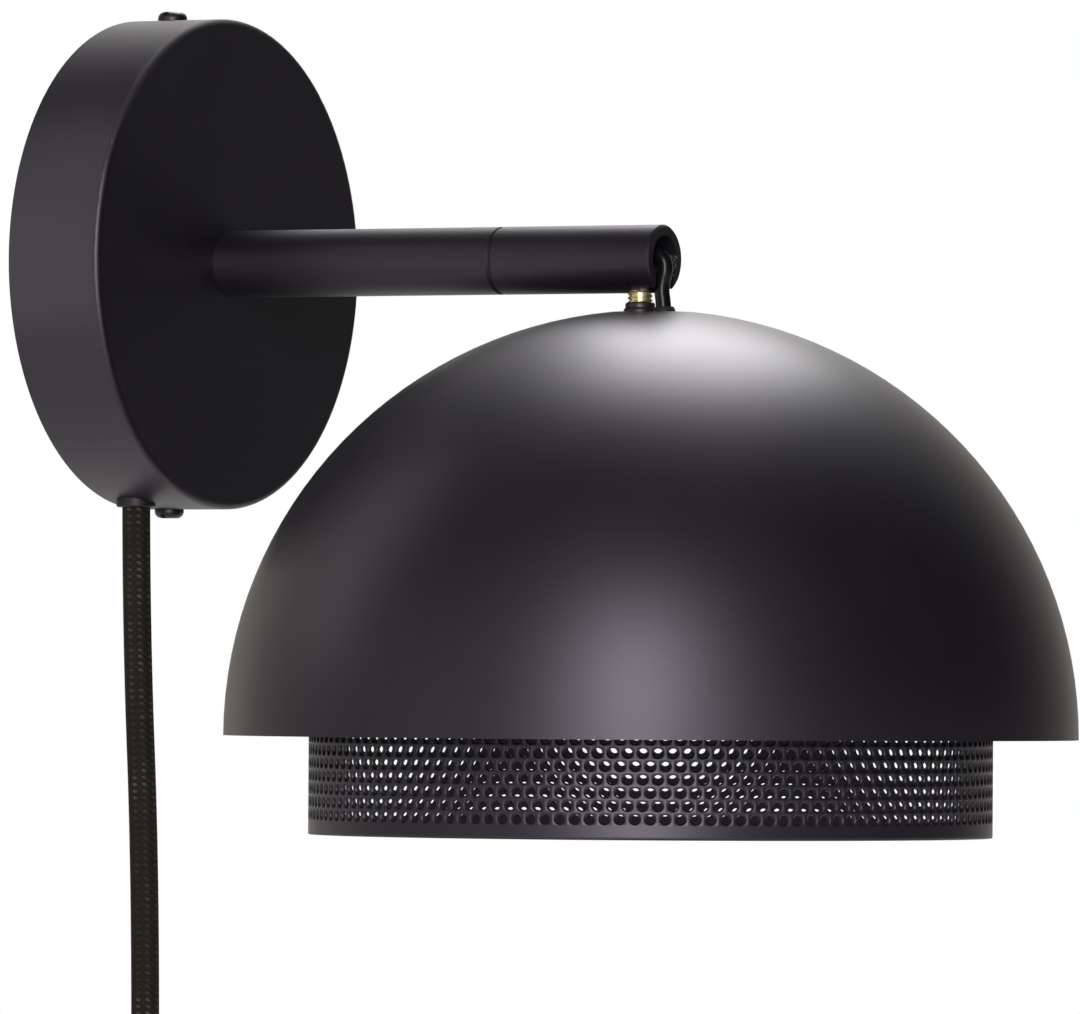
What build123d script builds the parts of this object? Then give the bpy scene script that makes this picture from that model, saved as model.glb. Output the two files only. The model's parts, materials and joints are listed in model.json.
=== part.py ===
"""Wall lamp with a round wall canopy, a two-piece swivel arm, a dome shade and a perforated inner ring.

Frame: the wall is the plane y = 0 and the lamp stands out along -Y, with +Z up and +X to the right.
The origin is the canopy's centre on the wall, and the arm's axis is the line x = 0, z = 0.
All sizes are in millimetres.
"""
import math
import os

from build123d import *

os.makedirs("parts", exist_ok=True)

# Clearances between pieces
running_clearance = 0.03
thread_clearance = 0.05
slip_clearance = 0.2
seat_clearance = 0.05

# Share of the shorter run that a cord's bend takes up
bend_share = 0.45

# Wall canopy
canopy_diameter = 117.0
canopy_depth = 25.0
canopy_wall = 1.2
canopy_edge_radius = 1.5
canopy_screw_reach = 8.0

# Wall strap behind the canopy
strap_width = 14.0
strap_thickness = 1.6
strap_tab_reach = 14.0
strap_slot_spacing = 76.0
strap_slot_length = 14.0
strap_slot_width = 4.5

# Fasteners of the canopy
screw_diameter = 4.0
screw_length = 9.0
screw_head_diameter = 7.0
screw_head_height = 2.1
screw_drive_width = 1.1
screw_drive_depth = 0.9
screw_crown_share = 0.8

# Arm
arm_diameter = 16.0
arm_wall = 2.5
arm_reach = 145.0
seam_reach = 101.0
seam_gap = 0.5
seam_chamfer = 0.4
spigot_diameter = 12.0
spigot_bore = 8.0
spigot_length = 11.0
arm_nut_flats = 18.0
arm_nut_height = 5.0
arm_washer_diameter = 24.0
arm_washer_thickness = 1.5
end_notch_width = 8.0
end_notch_depth = 2.6

# Swivel inside the arm
spindle_seat_length = 12.0
journal_diameter = 9.0
journal_length = 6.0
spindle_thread_diameter = 8.0
spindle_bore = 5.0
friction_washer_thickness = 0.4
spring_washer_thickness = 0.8
lock_nut_diameter = 10.4
lock_nut_height = 4.0
lock_nut_slot_depth = 1.3

# Hanger: the brass stud and the collar nut on the dome
stud_diameter = 6.0
stud_bare_length = 2.2
stud_setback = 3.6
stud_top_height = 1.2
stud_chamfer = 0.5
collar_height = 2.3
collar_top_diameter = 7.0
collar_foot_diameter = 7.8
collar_foot_height = 0.6
collar_flare_height = 1.15
collar_chamfer = 0.3
stud_nut_diameter = 8.4
stud_nut_height = 3.0
stud_tail = 0.8

# Dome shade
shade_setback = 3.0
dome_radius = 100.0
dome_sheet = 1.0
dome_seat_radius = 10.0

# Perforated ring below the dome
ring_diameter = 160.0
ring_sheet = 0.9
ring_drop = 23.0
ring_height = 47.0
hole_across = 4.8
holes_round = 72
hole_rows = 4
hole_row_pitch = 6.06
ring_plain_edge = 3.8

# Lamp cable
cable_diameter = 3.6
cable_forward = 3.0
cable_bulge = 1.6
cable_rise = 1.6
cable_start_reach = 15.0
bushing_flange_diameter = 5.0
bushing_flange_height = 1.3
bushing_wall = 0.3
bushing_lip = 1.0
bushing_chamfer = 0.4
cable_rise_start = 14.0
cable_rise_end = 6.0
cable_lip_reach = 1.0
cable_above_bushing = 2.5
cable_below_dome = 4.5
cable_end_margin = 1.0

# Holder bracket under the dome
bracket_thickness = 2.0
bracket_width = 8.6
bracket_depth = 20.0
bracket_back = 12.0
bracket_front = 9.0
bracket_bend = 4.0
bracket_drop = 0.12

# Lampholder for a small screw cap
nipple_diameter = 10.0
nipple_bore = 7.0
nipple_rise = 6.0
nipple_chamfer = 0.5
nipple_nut_flats = 14.0
nipple_nut_height = 3.0
cap_radius = 15.0
cap_height = 12.0
cap_wall = 2.0
cap_roof = 5.0
cap_top_inset = 5.0
cap_corner_inset = 1.0
cap_corner_drop = 3.0
cap_side_drop = 6.0
holder_spigot_height = 6.0
holder_shoulder_radius = 17.0
holder_shoulder_height = 3.0
holder_skirt_radius = 14.0
holder_skirt_height = 33.0
holder_skirt_chamfer = 1.0
socket_mouth = 2.0
shell_inner_radius = 7.0
shell_wall = 0.5
shell_height = 22.0
shell_setback = 1.0
contact_radius = 3.0
contact_height = 1.5
shade_ring_radius = 21.0
shade_ring_height = 8.0
shade_ring_ribs = 18
shade_ring_rib_radius = 1.0

# Spider that carries the ring
spider_thickness = 1.0
spider_arm_width = 10.0
spider_arms = 3
spider_hub_radius = 22.0
spider_flat_radius = 34.0
spider_bend = 6.0
spider_tab_length = 14.0
spider_tab_entry = 2.0
rivet_diameter = 3.0
rivet_head_diameter = 5.6
rivet_head_height = 1.2
rivet_head_taper = 25.0

# Supply cord
cord_diameter = 6.7
cord_x = -13.0
cord_reach = 6.9
cord_switch_reach = 10.5
gland_flange_diameter = 9.4
gland_flange_height = 1.1
gland_barrel_diameter = 8.6
gland_barrel_height = 9.0
gland_nut_diameter = 11.4
gland_nut_height = 4.0
cord_tail_in_canopy = 3.0
cord_straight_drop = 23.6
cord_last_run = 42.0

# In-line switch on the cord
switch_top = -192.0
switch_length = 56.0
switch_width = 26.0
switch_thickness = 17.0
switch_end_width = 13.0
switch_shoulder = 10.0
switch_edge = 2.0
switch_corner = 3.0
rocker_length = 20.0
rocker_width = 11.0
rocker_pocket_depth = 8.0
rocker_height = 2.4
rocker_axis_depth = 3.0
rocker_pin_diameter = 2.0
rocker_gap = 0.4
rocker_tilt = 8.0
rocker_pin_seat = 3.0
rocker_nose = 1.2
rocker_nose_drop = 1.0
rocker_side_inset = 0.4
rocker_foot_inset = 0.6
rocker_foot_height = 0.5
rocker_foot_reach = 4.0

# Coil of the spare cord
coil_centre_drop = 40.0
coil_pitch = 7.3
coil_layer_pitch = 7.3
coil_outer_radius = 45.0
coil_inward_turns = 3
coil_outward_half_turns = 7
tie_band = 1.2
tie_width = 8.0
tie_clearance = 0.5
tie_corner = 3.0

# Tail of the cord and the plug on its end
tail_forward = 11.0
tail_straight = 16.3
tail_bend_drop = 42.3
tail_drop = 59.0
plug_width = 35.0
plug_thickness = 13.6
plug_length = 34.0
plug_neck_width = 14.0
plug_neck_length = 12.0
plug_edge = 1.6
plug_foot_inset = 4.0
plug_foot_height = 8.0
plug_shoulder_below = 6.0
plug_shoulder_above = 2.0
plug_neck_taper = 1.0
pin_diameter = 4.0
pin_length = 19.0
pin_spacing = 19.0
pin_embed = 6.0
pin_root_diameter = 3.2
pin_tip_flat = 0.3

# Terminal block and wires inside the canopy
block_width = 20.0
block_height = 17.0
block_thickness = 12.0
block_centre = 21.5
block_pole_spacing = 9.0
block_screw_diameter = 3.4
block_screw_spacing = 9.0
block_screw_depth = 4.0
block_screw_sink = 0.8
block_corner = 1.5
block_entry_shift = 1.0
wire_diameter = 2.0
wire_bend = 5.0
wire_entry = 1.2
wire_offset = 1.3
wire_loop_gap = 2.0
wire_loop_side = 20.0
wire_loop_forward = 1.0
wire_turn_gap = 3.2
supply_left_bends = (-22.0, 0.0)
supply_right_bends = (-30.0, -6.0)

# Places worked out from the sizes above
canopy_radius = canopy_diameter / 2
canopy_inner_radius = canopy_radius - canopy_wall
canopy_front = -canopy_depth
canopy_inner_front = canopy_front + canopy_wall
arm_radius = arm_diameter / 2
arm_bore_radius = arm_radius - arm_wall
seam = -seam_reach
arm_tip = -arm_reach
shade_y = arm_tip + shade_setback
stud_y = shade_y + stud_setback
cable_y = shade_y - cable_forward
seat_z = -(arm_radius + stud_bare_length + collar_height)
seat_sag = dome_radius - math.sqrt(dome_radius**2 - dome_seat_radius**2)
rim_z = seat_z + seat_sag - dome_radius
dome_inner_radius = dome_radius - dome_sheet
seat_inner_z = seat_z - dome_sheet
seat_inner_radius = math.sqrt(dome_inner_radius**2 - (seat_inner_z - rim_z) ** 2)
ring_radius = ring_diameter / 2
ring_inner_radius = ring_radius - ring_sheet
ring_bottom = rim_z - ring_drop
ring_top = ring_bottom + ring_height
bracket_top = seat_inner_z - bracket_drop
bracket_floor = bracket_top - bracket_depth
shoulder_top = bracket_floor - cap_height
shoulder_bottom = shoulder_top - holder_shoulder_height
holder_bottom = shoulder_bottom - holder_skirt_height
shell_bottom = holder_bottom + shell_setback
shell_top = shell_bottom + shell_height

arm_axis = Axis.Y
shade_axis = Axis((0, shade_y, 0), (0, 0, 1))
stud_axis = Axis((0, stud_y, 0), (0, 0, 1))
cable_axis = Axis((0, cable_y, 0), (0, 0, 1))
shade_plane = Plane(origin=(0, shade_y, 0), x_dir=(1, 0, 0), z_dir=(0, -1, 0))


def turned(points, plane, axis):
    """A lathe piece from its half profile, given as (radius, height) points."""
    with BuildPart() as piece:
        with BuildSketch(plane):
            with BuildLine():
                Polyline(*points, close=True)
            make_face()
        revolve(axis=axis)
    return piece


def upright_plane(y):
    """The plane of a half profile that turns about a vertical axis at x = 0."""
    return Plane(origin=(0, y, 0), x_dir=(1, 0, 0), z_dir=(0, -1, 0))


def bend_radii(points):
    """The largest arc that the two runs at each corner of a route leave room for."""
    radii = []
    for before, corner, after in zip(points, points[1:], points[2:]):
        first = Vector(*corner) - Vector(*before)
        second = Vector(*after) - Vector(*corner)
        half_turn = math.radians(first.get_angle(second)) / 2
        radii.append(bend_share * min(first.length, second.length) / math.tan(half_turn))
    return radii


def tube_along(points, diameter, name):
    """A round cord along straight runs that tangent arcs join."""
    radii = bend_radii(points)
    with BuildPart() as piece:
        with BuildLine() as route:
            FilletPolyline(*points, radius=radii)
        path = route.wire()
        with BuildSketch(Plane(origin=path @ 0, z_dir=path % 0)):
            Circle(diameter / 2)
        sweep(path=path)
    whole = math.pi * diameter**2 / 4 * path.length
    shown = ", ".join(f"{r:.1f}" for r in radii)
    ratio = piece.part.volume / whole
    print(f"{name}: length {path.length:.1f}, bend radii {shown}, volume ratio {ratio:.4f}")
    return piece


def hex_nut(plane, flats, height, bore_diameter):
    """A hexagon nut that stands on its plane."""
    with BuildPart() as piece:
        with BuildSketch(plane):
            RegularPolygon(flats / 2, 6, major_radius=False)
            Circle(bore_diameter / 2, mode=Mode.SUBTRACT)
        extrude(amount=height)
    return piece


# Wall strap: a steel strip against the wall with a tapped tab bent out at each end
tab_outer = math.sqrt(canopy_inner_radius**2 - (strap_width / 2) ** 2) - slip_clearance
with BuildPart() as wall_strap:
    with BuildSketch(Plane.YZ):
        with BuildLine():
            Polyline(
                (-strap_tab_reach, tab_outer - strap_thickness / 2),
                (-strap_thickness / 2, tab_outer - strap_thickness / 2),
                (-strap_thickness / 2, -tab_outer + strap_thickness / 2),
                (-strap_tab_reach, -tab_outer + strap_thickness / 2),
            )
        trace(line_width=strap_thickness)
    extrude(amount=strap_width / 2, both=True)
    with BuildSketch(Plane.XZ):
        with Locations((0, strap_slot_spacing / 2), (0, -strap_slot_spacing / 2)):
            SlotOverall(strap_slot_length, strap_slot_width, rotation=90)
    extrude(amount=strap_thickness, mode=Mode.SUBTRACT)
    with BuildSketch(Plane.XY):
        with Locations((0, -canopy_screw_reach)):
            Circle(screw_diameter / 2 + thread_clearance)
    extrude(amount=canopy_radius, both=True, mode=Mode.SUBTRACT)
wall_strap.part.label = "wall_strap"
export_step(wall_strap.part, "parts/wall_strap.step")

# Canopy: a spun steel cup, open to the wall
cord_exit_z = -math.sqrt(canopy_radius**2 - cord_x**2)
with BuildPart() as canopy:
    with BuildSketch(Plane.XZ):
        Circle(canopy_radius)
    extrude(amount=canopy_depth)
    fillet(canopy.faces().sort_by(Axis.Y)[0].edges(), radius=canopy_edge_radius)
    offset(amount=-canopy_wall, openings=canopy.faces().sort_by(Axis.Y)[-1])
    with BuildSketch(Plane.XZ.offset(canopy_depth - 2 * canopy_wall)):
        Circle(spigot_diameter / 2 + slip_clearance)
    extrude(amount=3 * canopy_wall, mode=Mode.SUBTRACT)
    with BuildSketch(Plane.XY):
        with Locations((0, -canopy_screw_reach)):
            Circle(screw_diameter / 2 + slip_clearance)
    extrude(amount=canopy_radius, both=True, mode=Mode.SUBTRACT)
    with BuildSketch(Plane.XY):
        with Locations((cord_x, -cord_reach)):
            Circle(gland_barrel_diameter / 2 + slip_clearance)
    extrude(amount=-canopy_radius, mode=Mode.SUBTRACT)
canopy.part.label = "canopy"
export_step(canopy.part, "parts/canopy.step")

# Canopy screws: two dome-headed screws through the side wall into the strap's tabs
with BuildPart() as canopy_screws:
    for side in (1, -1):
        head_plane = Plane(origin=(0, -canopy_screw_reach, side * canopy_radius), z_dir=(0, 0, side))
        with BuildSketch(head_plane):
            Circle(screw_head_diameter / 2)
        extrude(amount=screw_head_height)
        crown = canopy_screws.faces().sort_by(Axis.Z)[-1 if side == 1 else 0]
        fillet(crown.edges(), radius=screw_head_height * screw_crown_share)
        with BuildSketch(head_plane):
            Circle(screw_diameter / 2)
        extrude(amount=-screw_length)
        with BuildSketch(head_plane.offset(screw_head_height - screw_drive_depth)):
            Rectangle(screw_head_diameter, screw_drive_width)
        extrude(amount=screw_head_height, mode=Mode.SUBTRACT)
canopy_screws.part.label = "canopy_screws"
export_step(canopy_screws.part, "parts/canopy_screws.step")

# Cord gland: a moulded bushing whose foot fits the round wall of the canopy
gland_foot = cord_exit_z - gland_flange_height
with BuildPart() as cord_gland:
    with BuildSketch(Plane(origin=(cord_x, -cord_reach, gland_foot))):
        Circle(gland_flange_diameter / 2)
    extrude(amount=gland_flange_height + gland_flange_diameter / 2)
    fillet(cord_gland.faces().sort_by(Axis.Z)[0].edges(), radius=gland_flange_height / 2)
    with BuildSketch(Plane.XZ):
        Circle(canopy_radius + seat_clearance)
    extrude(amount=canopy_depth, mode=Mode.SUBTRACT)
    with BuildSketch(Plane(origin=(cord_x, -cord_reach, gland_foot + gland_flange_height / 2))):
        Circle(gland_barrel_diameter / 2)
    extrude(amount=gland_flange_height / 2 + gland_barrel_height)
    with BuildSketch(Plane(origin=(cord_x, -cord_reach, gland_foot))):
        Circle(cord_diameter / 2 + slip_clearance)
    extrude(amount=gland_flange_height + gland_barrel_height, mode=Mode.SUBTRACT)
cord_gland.part.label = "cord_gland"
export_step(cord_gland.part, "parts/cord_gland.step")

# Gland nut inside the canopy
gland_nut_side = abs(cord_x) + gland_nut_diameter / 2
gland_nut_z = -math.sqrt(canopy_inner_radius**2 - gland_nut_side**2) + seat_clearance
gland_nut = hex_nut(
    Plane(origin=(cord_x, -cord_reach, gland_nut_z)),
    gland_nut_diameter * math.cos(math.pi / 6),
    gland_nut_height,
    gland_barrel_diameter + 2 * thread_clearance,
)
gland_nut.part.label = "gland_nut"
export_step(gland_nut.part, "parts/gland_nut.step")

# Fixed arm section: a tube with a threaded spigot that goes through the canopy's face
spigot_end = canopy_front + spigot_length
arm_tube = turned(
    [
        (spigot_bore / 2, spigot_end),
        (spigot_diameter / 2, spigot_end),
        (spigot_diameter / 2, canopy_front),
        (arm_radius, canopy_front),
        (arm_radius, seam + seam_chamfer),
        (arm_radius - seam_chamfer, seam),
        (arm_bore_radius, seam),
        (arm_bore_radius, canopy_front - arm_wall),
        (spigot_bore / 2, canopy_front - arm_wall),
    ],
    Plane.XY,
    arm_axis,
)
arm_tube.part.label = "arm_tube"
export_step(arm_tube.part, "parts/arm_tube.step")

# Washer and nut that hold the arm to the canopy
arm_washer = turned(
    [
        (spigot_diameter / 2 + slip_clearance, canopy_inner_front),
        (arm_washer_diameter / 2, canopy_inner_front),
        (arm_washer_diameter / 2, canopy_inner_front + arm_washer_thickness),
        (spigot_diameter / 2 + slip_clearance, canopy_inner_front + arm_washer_thickness),
    ],
    Plane.XY,
    arm_axis,
)
arm_washer.part.label = "arm_washer"
export_step(arm_washer.part, "parts/arm_washer.step")

arm_nut = hex_nut(
    Plane(origin=(0, canopy_inner_front + arm_washer_thickness, 0), z_dir=(0, 1, 0)),
    arm_nut_flats,
    arm_nut_height,
    spigot_diameter + 2 * thread_clearance,
)
arm_nut.part.label = "arm_nut"
export_step(arm_nut.part, "parts/arm_nut.step")

# Swivel spindle: pressed into the fixed section, it is the journal that the outer section turns on
spindle_radius = arm_bore_radius
tip_face = seam - seam_gap
journal_end = tip_face - journal_length
lock_face = journal_end - spring_washer_thickness - seat_clearance
spindle_end = lock_face - lock_nut_height
swivel_spindle = turned(
    [
        (spindle_bore / 2, seam + spindle_seat_length),
        (spindle_radius, seam + spindle_seat_length),
        (spindle_radius, seam),
        (journal_diameter / 2, seam),
        (journal_diameter / 2, journal_end),
        (spindle_thread_diameter / 2, journal_end),
        (spindle_thread_diameter / 2, spindle_end),
        (spindle_bore / 2, spindle_end),
    ],
    Plane.XY,
    arm_axis,
)
swivel_spindle.part.label = "swivel_spindle"
export_step(swivel_spindle.part, "parts/swivel_spindle.step")

# Friction washer in the seam between the two arm sections
friction_washer = turned(
    [
        (journal_diameter / 2 + slip_clearance, seam),
        (arm_radius - seam_chamfer, seam),
        (arm_radius - seam_chamfer, seam - friction_washer_thickness),
        (journal_diameter / 2 + slip_clearance, seam - friction_washer_thickness),
    ],
    Plane.XY,
    arm_axis,
)
friction_washer.part.label = "friction_washer"
export_step(friction_washer.part, "parts/friction_washer.step")

# Spring washer and lock nut that press the outer section against the friction washer
spring_washer = turned(
    [
        (spindle_thread_diameter / 2 + slip_clearance, lock_face + spring_washer_thickness),
        (lock_nut_diameter / 2, lock_face + spring_washer_thickness),
        (lock_nut_diameter / 2, lock_face),
        (spindle_thread_diameter / 2 + slip_clearance, lock_face),
    ],
    Plane.XY,
    arm_axis,
)
spring_washer.part.label = "spring_washer"
export_step(spring_washer.part, "parts/spring_washer.step")

with BuildPart() as lock_nut:
    with BuildSketch(Plane(origin=(0, lock_face, 0), z_dir=(0, -1, 0))):
        Circle(lock_nut_diameter / 2)
        Circle(spindle_thread_diameter / 2 + thread_clearance, mode=Mode.SUBTRACT)
    extrude(amount=lock_nut_height)
    with BuildSketch(Plane(origin=(0, spindle_end, 0), z_dir=(0, 1, 0))):
        Rectangle(lock_nut_diameter, screw_drive_width)
    extrude(amount=lock_nut_slot_depth, mode=Mode.SUBTRACT)
lock_nut.part.label = "lock_nut"
export_step(lock_nut.part, "parts/lock_nut.step")

# Outer arm section: it turns on the journal and carries the shade
with BuildPart() as arm_end:
    with BuildSketch(Plane.XY):
        with BuildLine():
            Polyline(
                (journal_diameter / 2 + running_clearance, tip_face),
                (arm_radius - seam_chamfer, tip_face),
                (arm_radius, tip_face - seam_chamfer),
                (arm_radius, arm_tip + seam_chamfer),
                (arm_radius - seam_chamfer, arm_tip),
                (arm_bore_radius, arm_tip),
                (arm_bore_radius, journal_end),
                (journal_diameter / 2 + running_clearance, journal_end),
                close=True,
            )
        make_face()
    revolve(axis=arm_axis)
    with BuildSketch(Plane.XZ.offset(arm_reach - end_notch_depth)):
        with Locations((0, -arm_radius)):
            Rectangle(end_notch_width, arm_diameter)
    extrude(amount=end_notch_depth, mode=Mode.SUBTRACT)
    with BuildSketch(Plane(origin=(0, stud_y, 0))):
        Circle(stud_diameter / 2 + thread_clearance)
    extrude(amount=-arm_diameter, mode=Mode.SUBTRACT)
arm_end.part.label = "arm_end"
export_step(arm_end.part, "parts/arm_end.step")

# Brass stud: tapped into the arm's underside, it carries the dome and the holder bracket
stud_top = -arm_bore_radius + stud_top_height
stud_nut_z = bracket_top - bracket_thickness
stud_bottom = stud_nut_z - stud_nut_height - stud_tail
with BuildPart() as stud:
    with BuildSketch(Plane(origin=(0, stud_y, stud_bottom))):
        Circle(stud_diameter / 2)
    extrude(amount=stud_top - stud_bottom)
    chamfer(stud.edges().filter_by(GeomType.CIRCLE), length=stud_chamfer)
stud.part.label = "stud"
export_step(stud.part, "parts/stud.step")

# Collar nut on top of the dome, with a flared foot
collar_nut = turned(
    [
        (stud_diameter / 2 + thread_clearance, seat_z + collar_height),
        (collar_top_diameter / 2 - collar_chamfer, seat_z + collar_height),
        (collar_top_diameter / 2, seat_z + collar_height - collar_chamfer),
        (collar_top_diameter / 2, seat_z + collar_flare_height),
        (collar_foot_diameter / 2, seat_z + collar_foot_height),
        (collar_foot_diameter / 2, seat_z),
        (stud_diameter / 2 + thread_clearance, seat_z),
    ],
    upright_plane(stud_y),
    stud_axis,
)
collar_nut.part.label = "collar_nut"
export_step(collar_nut.part, "parts/collar_nut.step")

# Nut under the holder bracket
with BuildPart() as stud_nut:
    with BuildSketch(Plane(origin=(0, stud_y, stud_nut_z - stud_nut_height))):
        Circle(stud_nut_diameter / 2)
        Circle(stud_diameter / 2 + thread_clearance, mode=Mode.SUBTRACT)
    extrude(amount=stud_nut_height)
stud_nut.part.label = "stud_nut"
export_step(stud_nut.part, "parts/stud_nut.step")

# Dome shade: a spun hemisphere with a small flat seat on top for the collar nut and the cable
bushing_barrel_radius = cable_diameter / 2 + slip_clearance / 2 + bushing_wall
with BuildPart() as dome_shade:
    with BuildSketch(shade_plane):
        with BuildLine():
            outer_seat = Line((0, seat_z), (dome_seat_radius, seat_z))
            outer_arc = RadiusArc(outer_seat @ 1, (dome_radius, rim_z), dome_radius)
            rim = Line(outer_arc @ 1, (dome_inner_radius, rim_z))
            inner_arc = RadiusArc(rim @ 1, (seat_inner_radius, seat_inner_z), -dome_inner_radius)
            inner_seat = Line(inner_arc @ 1, (0, seat_inner_z))
            Line(inner_seat @ 1, outer_seat @ 0)
        make_face()
    revolve(axis=shade_axis)
    with BuildSketch(Plane(origin=(0, 0, seat_z))):
        with Locations((0, stud_y)):
            Circle(stud_diameter / 2 + slip_clearance)
        with Locations((0, cable_y)):
            Circle(bushing_barrel_radius + seat_clearance)
    extrude(amount=-2 * dome_sheet, mode=Mode.SUBTRACT)
dome_shade.part.label = "dome_shade"
export_step(dome_shade.part, "parts/dome_shade.step")

# Cable bushing: a flanged grommet beside the stud
cable_bushing = turned(
    [
        (cable_diameter / 2 + slip_clearance / 2, seat_z + bushing_flange_height),
        (bushing_flange_diameter / 2 - bushing_chamfer, seat_z + bushing_flange_height),
        (bushing_flange_diameter / 2, seat_z + bushing_flange_height / 2),
        (bushing_flange_diameter / 2, seat_z),
        (bushing_barrel_radius, seat_z),
        (bushing_barrel_radius, seat_inner_z - bushing_lip),
        (cable_diameter / 2 + slip_clearance / 2, seat_inner_z - bushing_lip),
    ],
    upright_plane(cable_y),
    cable_axis,
)
cable_bushing.part.label = "cable_bushing"
export_step(cable_bushing.part, "parts/cable_bushing.step")

# Perforated ring: a rolled sheet with staggered rows of holes and a plain lower edge
with BuildPart() as punch:
    with BuildSketch(Plane.YZ.offset(ring_inner_radius - ring_sheet)):
        RegularPolygon(hole_across / 2, 6, major_radius=False)
    extrude(amount=3 * ring_sheet)
punch_places = []
for row in range(hole_rows):
    row_z = ring_bottom + ring_plain_edge + hole_across / 2 + row * hole_row_pitch
    for step in range(holes_round):
        turn = 360 / holes_round * (step + row % 2 / 2)
        punch_places.append(Location((0, shade_y, row_z), (0, 0, turn)))
rivet_z = ring_top - spider_tab_length / 2
with BuildPart() as perforated_ring:
    with BuildSketch(Plane(origin=(0, shade_y, ring_bottom))):
        Circle(ring_radius)
        Circle(ring_inner_radius, mode=Mode.SUBTRACT)
    extrude(amount=ring_height)
    add([punch.part.moved(place) for place in punch_places], mode=Mode.SUBTRACT)
    for arm in range(spider_arms):
        turn = math.radians(360 / spider_arms * arm + 90)
        outward = (math.cos(turn), math.sin(turn), 0)
        with BuildSketch(Plane(origin=(0, shade_y, rivet_z), z_dir=outward)):
            Circle(rivet_diameter / 2 + thread_clearance)
        extrude(amount=ring_diameter, mode=Mode.SUBTRACT)
perforated_ring.part.label = "perforated_ring"
export_step(perforated_ring.part, "parts/perforated_ring.step")

# Ring spider: a hub clamped on the lampholder and three arms down to the ring
hub_z = shoulder_bottom - spider_thickness / 2
tab_face = math.sqrt(ring_inner_radius**2 - (spider_arm_width / 2) ** 2) - seat_clearance
tab_x = tab_face - spider_thickness / 2
hub_bore = holder_skirt_radius + slip_clearance
with BuildPart() as ring_spider:
    with BuildSketch(Plane(origin=(0, shade_y, shoulder_bottom - spider_thickness))):
        Circle(spider_hub_radius)
    extrude(amount=spider_thickness)
    for arm in range(spider_arms):
        turn = math.radians(360 / spider_arms * arm + 90)
        outward = (math.cos(turn), math.sin(turn), 0)
        across = (math.sin(turn), -math.cos(turn), 0)
        with BuildSketch(Plane(origin=(0, shade_y, 0), x_dir=outward, z_dir=across)):
            with BuildLine():
                FilletPolyline(
                    (holder_skirt_radius, hub_z),
                    (spider_flat_radius, hub_z),
                    (tab_x, ring_top + spider_tab_entry),
                    (tab_x, ring_top - spider_tab_length),
                    radius=spider_bend,
                )
            trace(line_width=spider_thickness)
        extrude(amount=spider_arm_width / 2, both=True)
        with BuildSketch(Plane(origin=(0, shade_y, rivet_z), z_dir=outward)):
            Circle(rivet_diameter / 2 + thread_clearance)
        extrude(amount=ring_diameter, mode=Mode.SUBTRACT)
    with BuildSketch(Plane(origin=(0, shade_y, shoulder_bottom))):
        Circle(hub_bore)
    extrude(amount=-2 * spider_thickness, mode=Mode.SUBTRACT)
ring_spider.part.label = "ring_spider"
export_step(ring_spider.part, "parts/ring_spider.step")

# Rivets: one through each tab and the ring
with BuildPart() as ring_rivets:
    for arm in range(spider_arms):
        turn = math.radians(360 / spider_arms * arm + 90)
        outward = Vector(math.cos(turn), math.sin(turn), 0)
        centre = Vector(0, shade_y, rivet_z)
        with BuildSketch(Plane(origin=centre + outward * (tab_x - spider_thickness), z_dir=outward)):
            Circle(rivet_diameter / 2)
        extrude(amount=ring_radius - tab_x + spider_thickness)
        with BuildSketch(Plane(origin=centre + outward * ring_radius, z_dir=outward)):
            Circle(rivet_head_diameter / 2)
        extrude(amount=rivet_head_height, taper=rivet_head_taper)
        inner_face = tab_x - spider_thickness / 2
        with BuildSketch(Plane(origin=centre + outward * inner_face, z_dir=-outward)):
            Circle(rivet_head_diameter / 2)
        extrude(amount=rivet_head_height, taper=rivet_head_taper)
ring_rivets.part.label = "ring_rivets"
export_step(ring_rivets.part, "parts/ring_rivets.step")

# Holder bracket: a bent strip from the stud round to the shade's axis, open to the front for the cable
with BuildPart() as holder_bracket:
    with BuildSketch(upright_plane(stud_y)):
        with BuildLine():
            FilletPolyline(
                (-stud_nut_diameter / 2, bracket_top - bracket_thickness / 2),
                (bracket_back, bracket_top - bracket_thickness / 2),
                (bracket_back, bracket_floor + bracket_thickness / 2),
                (-bracket_front, bracket_floor + bracket_thickness / 2),
                radius=bracket_bend,
            )
        trace(line_width=bracket_thickness)
    extrude(amount=bracket_width / 2, both=True)
    with BuildSketch(Plane(origin=(0, 0, bracket_floor))):
        with Locations((0, shade_y)):
            Circle(bracket_front)
    extrude(amount=bracket_thickness)
    with BuildSketch(Plane(origin=(0, shade_y, bracket_floor))):
        Circle(nipple_diameter / 2 + slip_clearance)
    extrude(amount=bracket_thickness, mode=Mode.SUBTRACT)
    with BuildSketch(Plane(origin=(0, stud_y, bracket_top - bracket_thickness))):
        Circle(stud_diameter / 2 + thread_clearance)
    extrude(amount=bracket_thickness, mode=Mode.SUBTRACT)
holder_bracket.part.label = "holder_bracket"
export_step(holder_bracket.part, "parts/holder_bracket.step")

# Hollow nipple and its nut, which hold the lampholder's cap under the bracket
nipple_top = bracket_floor + bracket_thickness + nipple_rise
nipple_bottom = bracket_floor - cap_height / 2
nipple = turned(
    [
        (nipple_bore / 2, nipple_bottom),
        (nipple_diameter / 2, nipple_bottom),
        (nipple_diameter / 2, nipple_top - nipple_chamfer),
        (nipple_diameter / 2 - nipple_chamfer, nipple_top),
        (nipple_bore / 2, nipple_top),
    ],
    shade_plane,
    shade_axis,
)
nipple.part.label = "nipple"
export_step(nipple.part, "parts/nipple.step")

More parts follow.
